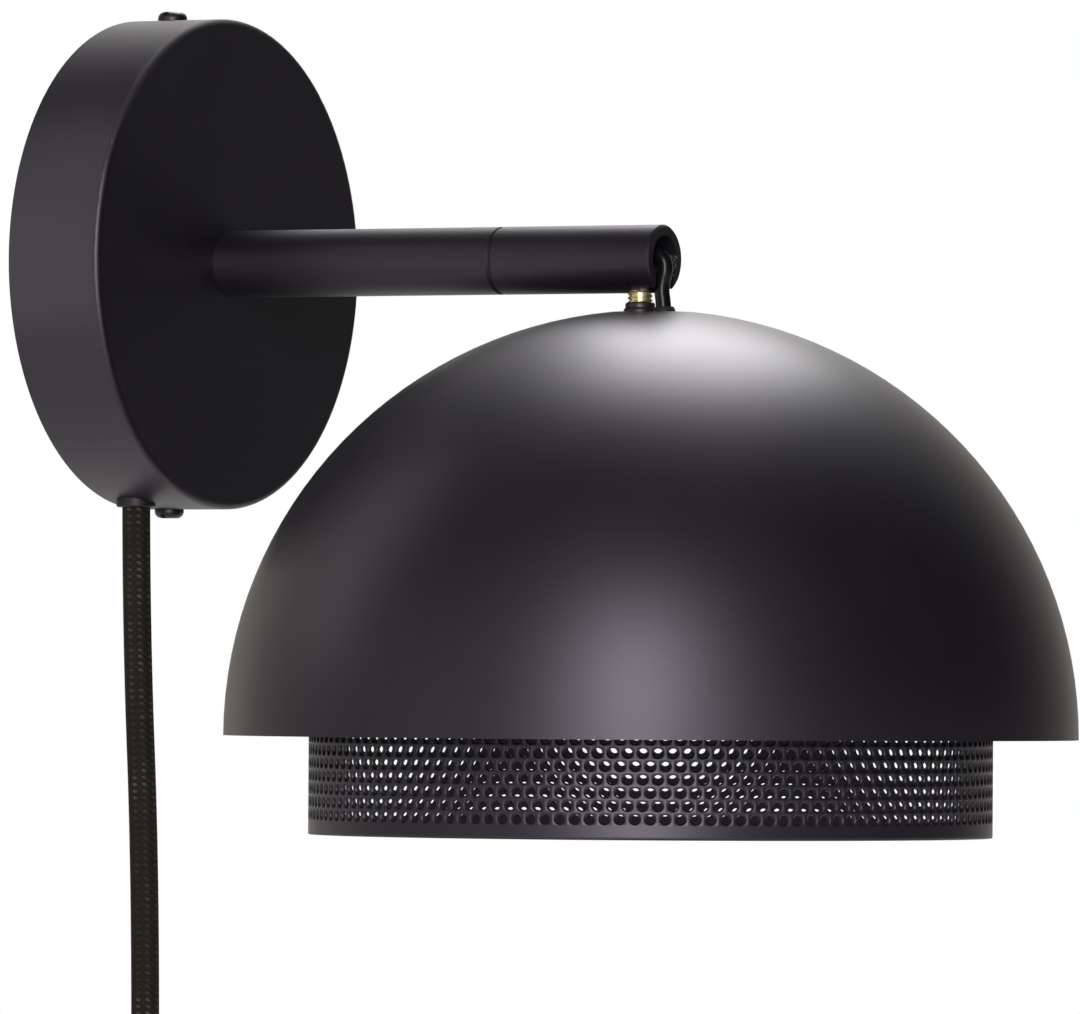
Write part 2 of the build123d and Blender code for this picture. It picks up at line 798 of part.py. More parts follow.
nipple_nut = hex_nut(
    Plane(origin=(0, shade_y, bracket_floor + bracket_thickness)),
    nipple_nut_flats,
    nipple_nut_height,
    nipple_diameter + 2 * thread_clearance,
)
nipple_nut.part.label = "nipple_nut"
export_step(nipple_nut.part, "parts/nipple_nut.step")

# Lampholder cap: a moulded cup screwed on the nipple
holder_cap = turned(
    [
        (nipple_diameter / 2 + thread_clearance, bracket_floor),
        (cap_radius - cap_top_inset, bracket_floor),
        (cap_radius - cap_corner_inset, bracket_floor - cap_corner_drop),
        (cap_radius, bracket_floor - cap_side_drop),
        (cap_radius, shoulder_top),
        (cap_radius - cap_wall, shoulder_top),
        (cap_radius - cap_wall, bracket_floor - cap_roof),
        (nipple_diameter / 2 + thread_clearance, bracket_floor - cap_roof),
    ],
    shade_plane,
    shade_axis,
)
holder_cap.part.label = "holder_cap"
export_step(holder_cap.part, "parts/holder_cap.step")

# Lampholder body: an insulating barrel with a shoulder, a threaded skirt and the socket's cavity
socket_radius = shell_inner_radius + shell_wall + seat_clearance
socket_floor = shell_top + contact_height
holder_body = turned(
    [
        (0, shoulder_top + holder_spigot_height),
        (cap_radius - cap_wall - slip_clearance, shoulder_top + holder_spigot_height),
        (cap_radius - cap_wall - slip_clearance, shoulder_top),
        (holder_shoulder_radius, shoulder_top),
        (holder_shoulder_radius, shoulder_bottom),
        (holder_skirt_radius, shoulder_bottom),
        (holder_skirt_radius, holder_bottom + holder_skirt_chamfer),
        (holder_skirt_radius - holder_skirt_chamfer, holder_bottom),
        (socket_radius + socket_mouth, holder_bottom),
        (socket_radius, holder_bottom + socket_mouth),
        (socket_radius, socket_floor),
        (0, socket_floor),
    ],
    shade_plane,
    shade_axis,
)
holder_body.part.label = "holder_body"
export_step(holder_body.part, "parts/holder_body.step")

# Screw shell and centre contact
screw_shell = turned(
    [
        (shell_inner_radius, shell_bottom),
        (shell_inner_radius + shell_wall, shell_bottom),
        (shell_inner_radius + shell_wall, shell_top),
        (shell_inner_radius, shell_top),
    ],
    shade_plane,
    shade_axis,
)
screw_shell.part.label = "screw_shell"
export_step(screw_shell.part, "parts/screw_shell.step")

with BuildPart() as centre_contact:
    with BuildSketch(Plane(origin=(0, shade_y, socket_floor))):
        Circle(contact_radius)
    extrude(amount=-contact_height)
    fillet(centre_contact.faces().sort_by(Axis.Z)[0].edges(), radius=contact_height / 2)
centre_contact.part.label = "centre_contact"
export_step(centre_contact.part, "parts/centre_contact.step")

# Ribbed ring that clamps the spider's hub against the holder's shoulder
with BuildPart() as shade_ring:
    with BuildSketch(Plane(origin=(0, shade_y, shoulder_bottom - spider_thickness))):
        Circle(shade_ring_radius)
        with PolarLocations(shade_ring_radius, shade_ring_ribs):
            Circle(shade_ring_rib_radius, mode=Mode.SUBTRACT)
        Circle(holder_skirt_radius + thread_clearance, mode=Mode.SUBTRACT)
    extrude(amount=-shade_ring_height)
shade_ring.part.label = "shade_ring"
export_step(shade_ring.part, "parts/shade_ring.step")

# Lamp cable: along the arm's axis, out of its open end and down through the dome into the nipple
cable_crest = cable_y - cable_bulge
lamp_cable_route = [
    (0, -cable_start_reach, 0),
    (0, arm_tip + cable_rise_start, 0),
    (0, arm_tip + cable_rise_end, cable_rise),
    (0, arm_tip + cable_lip_reach, cable_rise),
    (0, cable_crest, cable_rise - cable_diameter),
    (0, cable_y, seat_z + bushing_flange_height + cable_above_bushing),
    (0, cable_y, seat_inner_z - cable_below_dome),
    (0, shade_y, nipple_top + cable_end_margin),
    (0, shade_y, nipple_bottom + cable_end_margin),
]
lamp_cable = tube_along(lamp_cable_route, cable_diameter, "lamp_cable")
lamp_cable.part.label = "lamp_cable"
export_step(lamp_cable.part, "parts/lamp_cable.step")

# Supply cord: the stretch that hangs from the gland to the switch
cord_top = gland_foot + gland_flange_height + gland_barrel_height + cord_tail_in_canopy
cord_route = [
    (cord_x, -cord_reach, cord_top),
    (cord_x, -cord_reach, gland_foot - cord_straight_drop),
    (cord_x, -cord_switch_reach, switch_top + cord_last_run),
    (cord_x, -cord_switch_reach, switch_top),
]
hanging_cord = tube_along(cord_route, cord_diameter, "hanging_cord")
hanging_cord.part.label = "hanging_cord"
export_step(hanging_cord.part, "parts/hanging_cord.step")

# In-line switch: a base shell and a cover shell that meet in the cord's plane
switch_bottom = switch_top - switch_length
switch_middle = (switch_top + switch_bottom) / 2
half_length = switch_length / 2
switch_plane = Plane(origin=(cord_x, -cord_switch_reach, switch_middle), x_dir=(1, 0, 0), z_dir=(0, -1, 0))
rocker_axis_y = -cord_switch_reach - switch_thickness / 2 + rocker_axis_depth
with BuildSketch() as switch_outline:
    with BuildLine():
        Polyline(
            (switch_end_width / 2, half_length),
            (switch_width / 2, half_length - switch_shoulder),
            (switch_width / 2, -half_length + switch_shoulder),
            (switch_end_width / 2, -half_length),
            (-switch_end_width / 2, -half_length),
            (-switch_width / 2, -half_length + switch_shoulder),
            (-switch_width / 2, half_length - switch_shoulder),
            (-switch_end_width / 2, half_length),
            close=True,
        )
    make_face()
    rows = switch_outline.vertices().group_by(Axis.Y)
    fillet(rows[1] + rows[2], radius=switch_corner)

with BuildPart() as switch_base:
    with BuildSketch(switch_plane):
        add(switch_outline.sketch_local)
    extrude(amount=-switch_thickness / 2)
    fillet(switch_base.faces().sort_by(Axis.Y)[-1].edges(), radius=switch_edge)
switch_base.part.label = "switch_base"
export_step(switch_base.part, "parts/switch_base.step")

with BuildPart() as switch_cover:
    with BuildSketch(switch_plane):
        add(switch_outline.sketch_local)
    extrude(amount=switch_thickness / 2)
    fillet(switch_cover.faces().sort_by(Axis.Y)[0].edges(), radius=switch_edge)
    with BuildSketch(switch_plane.offset(switch_thickness / 2)):
        Rectangle(rocker_width + 2 * rocker_gap, rocker_length + 2 * rocker_gap)
    extrude(amount=-rocker_pocket_depth, mode=Mode.SUBTRACT)
    with BuildSketch(Plane(origin=(cord_x, rocker_axis_y, switch_middle), z_dir=(1, 0, 0))):
        Circle(rocker_pin_diameter / 2 + seat_clearance)
    extrude(amount=rocker_width / 2 + rocker_pin_seat, both=True, mode=Mode.SUBTRACT)
switch_cover.part.label = "switch_cover"
export_step(switch_cover.part, "parts/switch_cover.step")

# Rocker pin: fixed in the cover's side walls
with BuildPart() as rocker_pin:
    with BuildSketch(Plane(origin=(cord_x, rocker_axis_y, switch_middle), z_dir=(1, 0, 0))):
        Circle(rocker_pin_diameter / 2)
    extrude(amount=rocker_width / 2 + rocker_pin_seat - 2 * seat_clearance, both=True)
rocker_pin.part.label = "rocker_pin"
export_step(rocker_pin.part, "parts/rocker_pin.step")

# Rocker: a shallow V-shaped key, tipped to its off side, that turns about the pin
rocker_face = -rocker_axis_depth - rocker_height
tilt = math.radians(rocker_tilt)
tilt_rise = rocker_length / 2 * math.tan(tilt)
rocker_plane = Plane(
    origin=(cord_x, rocker_axis_y, switch_middle),
    x_dir=(0, math.cos(tilt), math.sin(tilt)),
    z_dir=(1, 0, 0),
)
with BuildPart() as switch_rocker:
    with BuildSketch(rocker_plane):
        with BuildLine():
            half_key = Polyline(
                (rocker_face + tilt_rise, 0),
                (rocker_face, rocker_length / 2 - rocker_nose),
                (rocker_face + rocker_nose_drop, rocker_length / 2 - rocker_side_inset),
                (-rocker_foot_height, rocker_length / 2 - rocker_foot_inset),
                (rocker_pin_diameter, rocker_foot_reach),
                (rocker_pin_diameter, 0),
            )
            mirror(half_key, about=Plane.XZ)
        make_face()
    extrude(amount=rocker_width / 2, both=True)
    with BuildSketch(Plane(origin=(cord_x, rocker_axis_y, switch_middle), z_dir=(1, 0, 0))):
        Circle(rocker_pin_diameter / 2 + running_clearance)
    extrude(amount=rocker_width, both=True, mode=Mode.SUBTRACT)
switch_rocker.part.label = "switch_rocker"
export_step(switch_rocker.part, "parts/switch_rocker.step")

# Coil of the spare cord: half circles that step inwards, climb a layer and step outwards again
coil_z = switch_bottom - coil_centre_drop
back_y = -cord_switch_reach
front_y = back_y - coil_layer_pitch
coil_start = Vector(cord_x, back_y, coil_z)
with BuildPart() as cord_coil:
    with BuildLine() as coil_route:
        Line(coil_start + (0, 0, cord_diameter), coil_start)
        here = coil_start
        radius = coil_outer_radius
        heading = 1
        for half_turn in range(2 * coil_inward_turns):
            there = here + (2 * radius * heading, 0, 0)
            crest = (here + there) / 2 - (0, 0, radius * heading)
            ThreePointArc(here, crest, there)
            here = there
            heading = -heading
            radius = radius - coil_pitch / 2
        there = here + (2 * radius * heading, -coil_layer_pitch, 0)
        climb_radius = (there - here).length / 2
        ThreePointArc(here, (here + there) / 2 - (0, 0, climb_radius * heading), there)
        here = there
        for half_turn in range(coil_outward_half_turns):
            heading = -heading
            radius = radius + coil_pitch / 2
            there = here + (2 * radius * heading, 0, 0)
            crest = (here + there) / 2 - (0, 0, radius * heading)
            ThreePointArc(here, crest, there)
            here = there
        Line(here, here - (0, 0, cord_diameter))
        coil_end = here - (0, 0, cord_diameter)
    coil_path = coil_route.wire()
    with BuildSketch(Plane(origin=coil_path @ 0, z_dir=coil_path % 0)):
        Circle(cord_diameter / 2)
    sweep(path=coil_path)
cord_coil.part.label = "cord_coil"
export_step(cord_coil.part, "parts/cord_coil.step")

# The coil's least gap to itself, measured on points along it that are well apart on the route
coil_length = coil_path.length
spacing = cord_diameter / 3
coil_points = [coil_path @ (i * spacing / coil_length) for i in range(int(coil_length / spacing) + 1)]
apart = int(3 * cord_diameter / spacing)
least_gap = min(
    (a - b).length - cord_diameter for i, a in enumerate(coil_points) for b in coil_points[i + apart :]
)
print(f"cord_coil: length {coil_length:.1f}, least gap to itself {least_gap:.2f}")

# Stretch of cord between the switch and the coil
with BuildPart() as lower_cord:
    with BuildSketch(Plane(origin=coil_start + (0, 0, cord_diameter))):
        Circle(cord_diameter / 2)
    extrude(amount=coil_centre_drop - cord_diameter)
lower_cord.part.label = "lower_cord"
export_step(lower_cord.part, "parts/lower_cord.step")

# Tie round the coil's upper side
coil_middle_x = cord_x + coil_outer_radius
tie_reach = tie_width / 2 + coil_pitch / 2
inmost = coil_outer_radius - (coil_inward_turns - 0.5) * coil_pitch - cord_diameter / 2
outmost = coil_outer_radius + coil_pitch / 2 + cord_diameter / 2
tie_y = (back_y + front_y) / 2
tie_half_depth = (coil_layer_pitch + cord_diameter) / 2 + tie_clearance
tie_low = coil_z + math.sqrt(inmost**2 - tie_reach**2) - tie_clearance
tie_high = coil_z + outmost + tie_clearance
tie_middle = (coil_middle_x, tie_y, (tie_low + tie_high) / 2)
with BuildPart() as cord_tie:
    with BuildSketch(Plane(origin=tie_middle, x_dir=(0, 1, 0), z_dir=(1, 0, 0))):
        RectangleRounded(2 * (tie_half_depth + tie_band), tie_high - tie_low + 2 * tie_band, tie_corner)
        RectangleRounded(2 * tie_half_depth, tie_high - tie_low, tie_corner - tie_band, mode=Mode.SUBTRACT)
    extrude(amount=tie_width / 2, both=True)
cord_tie.part.label = "cord_tie"
export_step(cord_tie.part, "parts/cord_tie.step")

# Tail of the cord from the coil forward and down to the plug
plug_y = coil_end.Y - tail_forward
plug_top = coil_end.Z - tail_drop
tail_route = [
    tuple(coil_end),
    (coil_end.X, coil_end.Y, coil_end.Z - tail_straight),
    (coil_end.X, plug_y, coil_end.Z - tail_bend_drop),
    (coil_end.X, plug_y, plug_top),
]
cord_tail = tube_along(tail_route, cord_diameter, "cord_tail")
cord_tail.part.label = "cord_tail"
export_step(cord_tail.part, "parts/cord_tail.step")

# Plug: a flat two-pin body with a tapered neck
plug_shoulder = plug_length - plug_neck_length
plug_plane = Plane(origin=(coil_end.X, plug_y, plug_top - plug_length), x_dir=(1, 0, 0), z_dir=(0, -1, 0))
plug_face = plug_top - plug_length
with BuildPart() as plug_body:
    with BuildSketch(plug_plane):
        with BuildLine():
            Polyline(
                (-plug_width / 2 + plug_foot_inset, 0),
                (plug_width / 2 - plug_foot_inset, 0),
                (plug_width / 2, plug_foot_height),
                (plug_width / 2, plug_shoulder - plug_shoulder_below),
                (plug_neck_width / 2, plug_shoulder + plug_shoulder_above),
                (plug_neck_width / 2 - plug_neck_taper, plug_length),
                (-plug_neck_width / 2 + plug_neck_taper, plug_length),
                (-plug_neck_width / 2, plug_shoulder + plug_shoulder_above),
                (-plug_width / 2, plug_shoulder - plug_shoulder_below),
                (-plug_width / 2, plug_foot_height),
                close=True,
            )
        make_face()
    extrude(amount=plug_thickness / 2, both=True)
    fillet(plug_body.faces().sort_by(Axis.Y)[0].edges(), radius=plug_edge)
    fillet(plug_body.faces().sort_by(Axis.Y)[-1].edges(), radius=plug_edge)
    with BuildSketch(Plane(origin=(coil_end.X, plug_y, plug_face))):
        with Locations((pin_spacing / 2, 0), (-pin_spacing / 2, 0)):
            Circle(pin_root_diameter / 2 + thread_clearance)
    extrude(amount=pin_embed, mode=Mode.SUBTRACT)
plug_body.part.label = "plug_body"
export_step(plug_body.part, "parts/plug_body.step")

with BuildPart() as plug_pins:
    with BuildSketch(Plane(origin=(coil_end.X, plug_y, plug_face - seat_clearance))):
        with Locations((pin_spacing / 2, 0), (-pin_spacing / 2, 0)):
            Circle(pin_diameter / 2)
    extrude(amount=seat_clearance - pin_length)
    fillet(plug_pins.faces().group_by(Axis.Z)[0].edges(), radius=pin_diameter / 2 - pin_tip_flat)
    with BuildSketch(Plane(origin=(coil_end.X, plug_y, plug_face + pin_embed))):
        with Locations((pin_spacing / 2, 0), (-pin_spacing / 2, 0)):
            Circle(pin_root_diameter / 2)
    extrude(amount=-pin_embed - 2 * seat_clearance)
plug_pins.part.label = "plug_pins"
export_step(plug_pins.part, "parts/plug_pins.step")

# Terminal block on the strap, with its screws
block_back = -strap_thickness
block_front = block_back - block_thickness
entry_y = (block_back + block_front) / 2 + block_entry_shift
with BuildPart() as terminal_block:
    with BuildSketch(Plane(origin=(0, block_back, block_centre), x_dir=(1, 0, 0), z_dir=(0, -1, 0))):
        RectangleRounded(block_width, block_height, block_corner)
    extrude(amount=block_thickness)
    with BuildSketch(Plane(origin=(0, block_front, block_centre), x_dir=(1, 0, 0), z_dir=(0, -1, 0))):
        with GridLocations(block_pole_spacing, block_screw_spacing, 2, 2):
            Circle(block_screw_diameter / 2 + slip_clearance)
    extrude(amount=-block_screw_depth, mode=Mode.SUBTRACT)
    with BuildSketch(Plane(origin=(0, entry_y, block_centre))):
        with Locations((block_pole_spacing / 2, 0), (-block_pole_spacing / 2, 0)):
            Circle(wire_diameter / 2 + slip_clearance)
    extrude(amount=block_height, both=True, mode=Mode.SUBTRACT)
terminal_block.part.label = "terminal_block"
export_step(terminal_block.part, "parts/terminal_block.step")

screw_seat_y = block_front + block_screw_depth
with BuildPart() as terminal_screws:
    with BuildSketch(Plane(origin=(0, screw_seat_y, block_centre), x_dir=(1, 0, 0), z_dir=(0, -1, 0))):
        with GridLocations(block_pole_spacing, block_screw_spacing, 2, 2):
            Circle(block_screw_diameter / 2)
    extrude(amount=block_screw_depth - block_screw_sink)
terminal_screws.part.label = "terminal_screws"
export_step(terminal_screws.part, "parts/terminal_screws.step")

# Wires: two from the cord up to the block, and two from the block round to the arm's spigot
block_low = block_centre - block_height / 2 + wire_entry
block_high = block_centre + block_height / 2 - wire_entry
pole = block_pole_spacing / 2
supply_routes = [
    [
        (cord_x - wire_offset, -cord_reach, cord_top + seat_clearance),
        (cord_x - wire_offset, -cord_reach, supply_left_bends[0]),
        (-pole, entry_y, supply_left_bends[1]),
        (-pole, entry_y, block_low),
    ],
    [
        (cord_x + wire_offset, -cord_reach, cord_top + seat_clearance),
        (cord_x + wire_offset, -cord_reach, supply_right_bends[0]),
        (pole, entry_y, supply_right_bends[1]),
        (pole, entry_y, block_low),
    ],
]
with BuildPart() as supply_wires:
    for route_points in supply_routes:
        with BuildLine() as wire_route:
            FilletPolyline(*route_points, radius=wire_bend)
        wire_path = wire_route.wire()
        with BuildSketch(Plane(origin=wire_path @ 0, z_dir=wire_path % 0)):
            Circle(wire_diameter / 2)
        sweep(path=wire_path)
supply_wires.part.label = "supply_wires"
export_step(supply_wires.part, "parts/supply_wires.step")

wire_turn_y = spigot_end + wire_turn_gap
outer_loop = canopy_radius - screw_length - wire_loop_gap - wire_diameter / 2
inner_loop = outer_loop - 2 * wire_diameter
outer_side = wire_loop_side + 2 * wire_diameter
arm_routes = [
    [
        (pole, entry_y, block_high),
        (pole, entry_y, inner_loop),
        (wire_loop_side, entry_y - wire_loop_forward, inner_loop),
        (wire_loop_side, wire_turn_y, wire_offset),
        (0, wire_turn_y, wire_offset),
        (0, -cable_start_reach, wire_offset),
    ],
    [
        (-pole, entry_y, block_high),
        (-pole, entry_y, outer_loop),
        (outer_side, entry_y - wire_loop_forward, outer_loop),
        (outer_side, wire_turn_y, -wire_offset),
        (0, wire_turn_y, -wire_offset),
        (0, -cable_start_reach, -wire_offset),
    ],
]
with BuildPart() as arm_wires:
    for route_points in arm_routes:
        with BuildLine() as wire_route:
            FilletPolyline(*route_points, radius=wire_diameter)
        wire_path = wire_route.wire()
        with BuildSketch(Plane(origin=wire_path @ 0, z_dir=wire_path % 0)):
            Circle(wire_diameter / 2)
        sweep(path=wire_path)
arm_wires.part.label = "arm_wires"
export_step(arm_wires.part, "parts/arm_wires.step")
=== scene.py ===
# %% [markdown]
# A wall lamp in satin black: a round canopy on the wall, a short arm, a dome shade and a perforated ring
# below it, with a braided cord that hangs from the canopy. The solid parts come ready made from the CAD
# model, in metres and in place. They could be drawn again here, but loading them keeps every size and
# joint true. This lesson dresses them: it gives every part its finish, and it builds anew what CAD shows
# only in outline, such as the cord, the fine holes of the ring and the screw thread.

# %% Load the solid model
import json
import math

import bpy
from mathutils import Matrix, Vector


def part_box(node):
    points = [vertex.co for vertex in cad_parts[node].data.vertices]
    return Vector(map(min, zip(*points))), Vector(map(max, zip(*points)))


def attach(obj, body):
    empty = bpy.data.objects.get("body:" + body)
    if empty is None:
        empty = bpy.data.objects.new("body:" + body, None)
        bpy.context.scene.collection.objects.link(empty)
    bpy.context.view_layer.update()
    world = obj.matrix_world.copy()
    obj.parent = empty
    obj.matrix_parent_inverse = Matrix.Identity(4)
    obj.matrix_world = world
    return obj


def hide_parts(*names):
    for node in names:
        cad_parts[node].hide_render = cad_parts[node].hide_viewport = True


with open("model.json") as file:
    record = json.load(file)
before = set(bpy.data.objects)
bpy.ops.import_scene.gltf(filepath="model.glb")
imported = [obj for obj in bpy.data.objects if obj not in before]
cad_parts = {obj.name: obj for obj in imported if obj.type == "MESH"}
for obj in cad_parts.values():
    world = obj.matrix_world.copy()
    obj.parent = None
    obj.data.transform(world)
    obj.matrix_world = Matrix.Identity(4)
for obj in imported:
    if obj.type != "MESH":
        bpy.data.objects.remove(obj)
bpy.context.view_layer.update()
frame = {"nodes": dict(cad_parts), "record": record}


def short(point):
    """The numbers of a point, rounded to be printed."""
    return [round(number, 4) for number in point]


scene = bpy.context.scene
scene.view_settings.view_transform = "Standard"

# %% [markdown]
# The lamp is seen from about 59 degrees to the left of its arm, level with the shade. The camera could be
# turned by hand until the picture looks right. A camera in Blender looks along its own -Z, so here three
# axes of our own make its turn: right, up and back. The lights use the same axes later. It stands far off
# with a long lens, so that the canopy and the shade keep their sizes side by side.

# %% Camera
IMAGE_WIDTH = 1080
FOCAL_PIXELS = 12760.0
SENSOR_WIDTH = 36.0
FAR_CLIP = 50.0
CAMERA_AZIMUTH = math.radians(-59.075)
CAMERA_ELEVATION = math.radians(-0.739)
CAMERA_ROLL = math.radians(0.362)
CAMERA_DISTANCE = 3.0
CAMERA_AIM = Vector((0, -0.11139, -0.05802))

view_back = Vector((
    math.sin(CAMERA_AZIMUTH) * math.cos(CAMERA_ELEVATION),
    -math.cos(CAMERA_AZIMUTH) * math.cos(CAMERA_ELEVATION),
    math.sin(CAMERA_ELEVATION),
))
level_right = Vector((math.cos(CAMERA_AZIMUTH), math.sin(CAMERA_AZIMUTH), 0))
level_up = view_back.cross(level_right)
view_right = math.cos(CAMERA_ROLL) * level_right + math.sin(CAMERA_ROLL) * level_up
view_up = view_back.cross(view_right)

lens = bpy.data.cameras.new("lamp_camera")
lens.sensor_fit = "HORIZONTAL"
lens.sensor_width = SENSOR_WIDTH
lens.lens = FOCAL_PIXELS / IMAGE_WIDTH * SENSOR_WIDTH
lens.clip_end = FAR_CLIP
camera = bpy.data.objects.new("lamp_camera", lens)
camera.matrix_world = Matrix((view_right, view_up, view_back)).transposed().to_4x4()
camera.location = CAMERA_AIM + view_back * CAMERA_DISTANCE
scene.collection.objects.link(camera)
scene.camera = camera
print("camera at", short(camera.location), "lens", round(lens.lens, 1), "mm")

# %% [markdown]
# A finish is made of nodes, and most of them do sums. They could be placed one by one, but a sum is
# easier to read as a sum. A Signal wraps the output of a node, and adding, multiplying or comparing
# signals adds the Math node that does so. The reflected forms let a plain number stand on the left, as in
# 1 - mask.

# %% Signals
class Signal:
    """An output of a node that takes part in sums as a number does."""

    def __init__(self, bench, socket):
        self.bench = bench
        self.socket = socket

    def __add__(self, other):
        return self.bench.maths("ADD", self, other)

    def __radd__(self, other):
        return self.bench.maths("ADD", other, self)

    def __sub__(self, other):
        return self.bench.maths("SUBTRACT", self, other)

    def __rsub__(self, other):
        return self.bench.maths("SUBTRACT", other, self)

    def __mul__(self, other):
        return self.bench.maths("MULTIPLY", self, other)

    def __rmul__(self, other):
        return self.bench.maths("MULTIPLY", other, self)

    def __truediv__(self, other):
        return self.bench.maths("DIVIDE", self, other)

    def __rtruediv__(self, other):
        return self.bench.maths("DIVIDE", other, self)

    def __lt__(self, other):
        return self.bench.maths("LESS_THAN", self, other)

    def __gt__(self, other):
        return self.bench.maths("GREATER_THAN", self, other)


print("signals ready")

# %% [markdown]
# A Bench is a node tree to work on, emptied first. Its node method makes any node: the type, then its
# settings, then what goes into its sockets. The methods after it are the few nodes that this lamp needs
# again and again. Each could be written out where it is used, but then the sums would be lost among the
# sockets. Colours go through a Mix node, because a Math node would turn them grey.

# %% Benches
# The Mix node gives the same names to its sockets for numbers, vectors and colours, so these go by number.
MIX_FACTOR = 0
MIX_FIRST = 6
MIX_SECOND = 7
MIX_RESULT = 2


class Bench:
    """A node tree to build up from nothing."""

    def __init__(self, tree):
        self.tree = tree
        tree.nodes.clear()

    def node(self, kind, settings=None, inputs=None):
        """Any node: its type, its settings, then the values or signals for its sockets."""
        made = self.tree.nodes.new(kind)
        for key, value in (settings or {}).items():
            setattr(made, key, value)
        for key, value in (inputs or {}).items():
            self.feed(made.inputs[key], value)
        return made

    def feed(self, socket, value):
        """Links a signal to a socket, or sets a plain value there."""
        if isinstance(value, Signal):
            self.tree.links.new(value.socket, socket)
        else:
            socket.default_value = value

    def take(self, output, kind, settings=None, inputs=None):
        """A node as above, for the sake of one of its outputs."""
        return Signal(self, self.node(kind, settings, inputs).outputs[output])

    def maths(self, operation, *values):
        return self.take("Value", "ShaderNodeMath", {"operation": operation}, dict(enumerate(values)))

    def span(self, first, second):
        """How far off a point is that lies first along one axis and second along another."""
        return self.maths("SQRT", first * first + second * second)

    def parts(self, vector):
        made = self.node("ShaderNodeSeparateXYZ", {}, {"Vector": vector})
        return [Signal(self, out) for out in made.outputs]

    def ramp(self, value, low, high, start=0.0, end=1.0, kind="SMOOTHSTEP"):
        """Goes from start to end while the value goes from low to high."""
        limits = {"Value": value, "From Min": low, "From Max": high, "To Min": start, "To Max": end}
        return self.take("Result", "ShaderNodeMapRange", {"interpolation_type": kind}, limits)

    def mixed(self, factor, first, second):
        colours = {MIX_FACTOR: factor, MIX_FIRST: first, MIX_SECOND: second}
        return self.take(MIX_RESULT, "ShaderNodeMix", {"data_type": "RGBA"}, colours)

    def blended(self, factor, first, second):
        """Two shaders in one."""
        return self.take("Shader", "ShaderNodeMixShader", {}, {0: factor, 1: first, 2: second})


def shade(red, green, blue):
    """A colour with full opacity, as the sockets want it."""
    return (red, green, blue, 1.0)


WHITE = shade(1.0, 1.0, 1.0)
print("benches ready")

# %% [markdown]
# A Finish is a bench with a material on it. A real finish has a tone, a gloss and a skin, and the
# Principled shader has sockets for all three, so one such shader per finish is enough. A value that is
# the same all over goes straight into its socket when the finish is made. What changes over the surface
# is set afterwards, and it comes from a place on the lamp, a noise or specks there, and a bump.

# %% Finishes
class Finish(Bench):
    """A material in the making: a Principled shader and the nodes that feed it."""

    def __init__(self, name, **constants):
        self.material = bpy.data.materials.new(name)
        self.material.use_nodes = True
        super().__init__(self.material.node_tree)
        self.shader = self.node("ShaderNodeBsdfPrincipled")
        self.painted = Signal(self, self.shader.outputs["BSDF"])
        self.output = self.node("ShaderNodeOutputMaterial", {}, {"Surface": self.painted})
        self.set(**constants)

    def socket(self, word):
        """A socket of the shader by a plain word, such as base_color."""
        return self.shader.inputs[word.replace("_", " ").title().replace("Ior", "IOR")]

    def set(self, **inputs):
        for word, value in inputs.items():
            self.feed(self.socket(word), value)

    def already(self, word):
        """The signal that feeds a socket of the shader so far."""
        return Signal(self, self.socket(word).links[0].from_socket)

    def place(self):
        return self.take("Object", "ShaderNodeTexCoord")

    def stretched(self, vector, amounts):
        factors = {0: vector, 1: amounts}
        return self.take("Vector", "ShaderNodeVectorMath", {"operation": "MULTIPLY"}, factors)

    def noise(self, vector, scale, detail=2.0):
        pattern = {"Vector": vector, "Scale": scale, "Detail": detail}
        return self.take("Fac", "ShaderNodeTexNoise", {}, pattern)

    def specks(self, vector, scale):
        return self.take("Distance", "ShaderNodeTexVoronoi", {}, {"Vector": vector, "Scale": scale})

    def bumped(self, height, distance, strength):
        relief = {"Strength": strength, "Distance": distance, "Height": height}
        return self.take("Normal", "ShaderNodeBump", {}, relief)


print("finishes ready")

# %% [markdown]
# The shade, ring, arm and canopy carry a satin powder coat, black with a breath of purple. Baked powder
# has a very fine orange-peel skin, its gloss wanders a little from place to place, and a thin scatter of
# dust keeps the large dome from looking like plastic. A picture wrapped round the dome could show this,
# but it would need a seam. Noise in space has none, and it fits every part at one scale.

# %% Powder coat
CLOUD_SCALE = 28.0
PEEL_SCALE = 1500.0
GRAIN_SCALE = 4200.0
DUST_SCALE = 420.0
PEEL_DEPTH = 0.00003
CLOUD_SPREAD = (0.35, 0.65)
DUST_SPREAD = (0.07, 0.02)
SATIN = 0.40
COAT_SHINE = 0.5
COAT_TINT = shade(0.96, 0.88, 1.0)
COAT_DARK = shade(0.0035, 0.0028, 0.0052)
COAT_LIGHT = shade(0.0045, 0.0036, 0.0064)
DUST_COLOUR = shade(0.02, 0.019, 0.018)


def powder_coat(name):
    """The satin black coat."""
    coat = Finish(name, specular_ior_level=COAT_SHINE, specular_tint=COAT_TINT)
    place = coat.place()
    cloud = coat.noise(place, CLOUD_SCALE, detail=3.0)
    peel = coat.noise(place, PEEL_SCALE, detail=1.0)
    grain = coat.noise(place, GRAIN_SCALE, detail=1.0)
    dust = coat.ramp(coat.specks(place, DUST_SCALE), *DUST_SPREAD)
    tone = coat.mixed(coat.ramp(cloud, *CLOUD_SPREAD), COAT_DARK, COAT_LIGHT)
    coat.set(
        base_color=coat.mixed(dust * 0.25, tone, DUST_COLOUR),
        roughness=SATIN + 0.05 * cloud + 0.04 * grain,
        normal=coat.bumped(peel + 0.4 * grain, PEEL_DEPTH, strength=0.35),
    )
    return coat


black_paint = powder_coat("black_powder_coat")
print("made", black_paint.material.name)

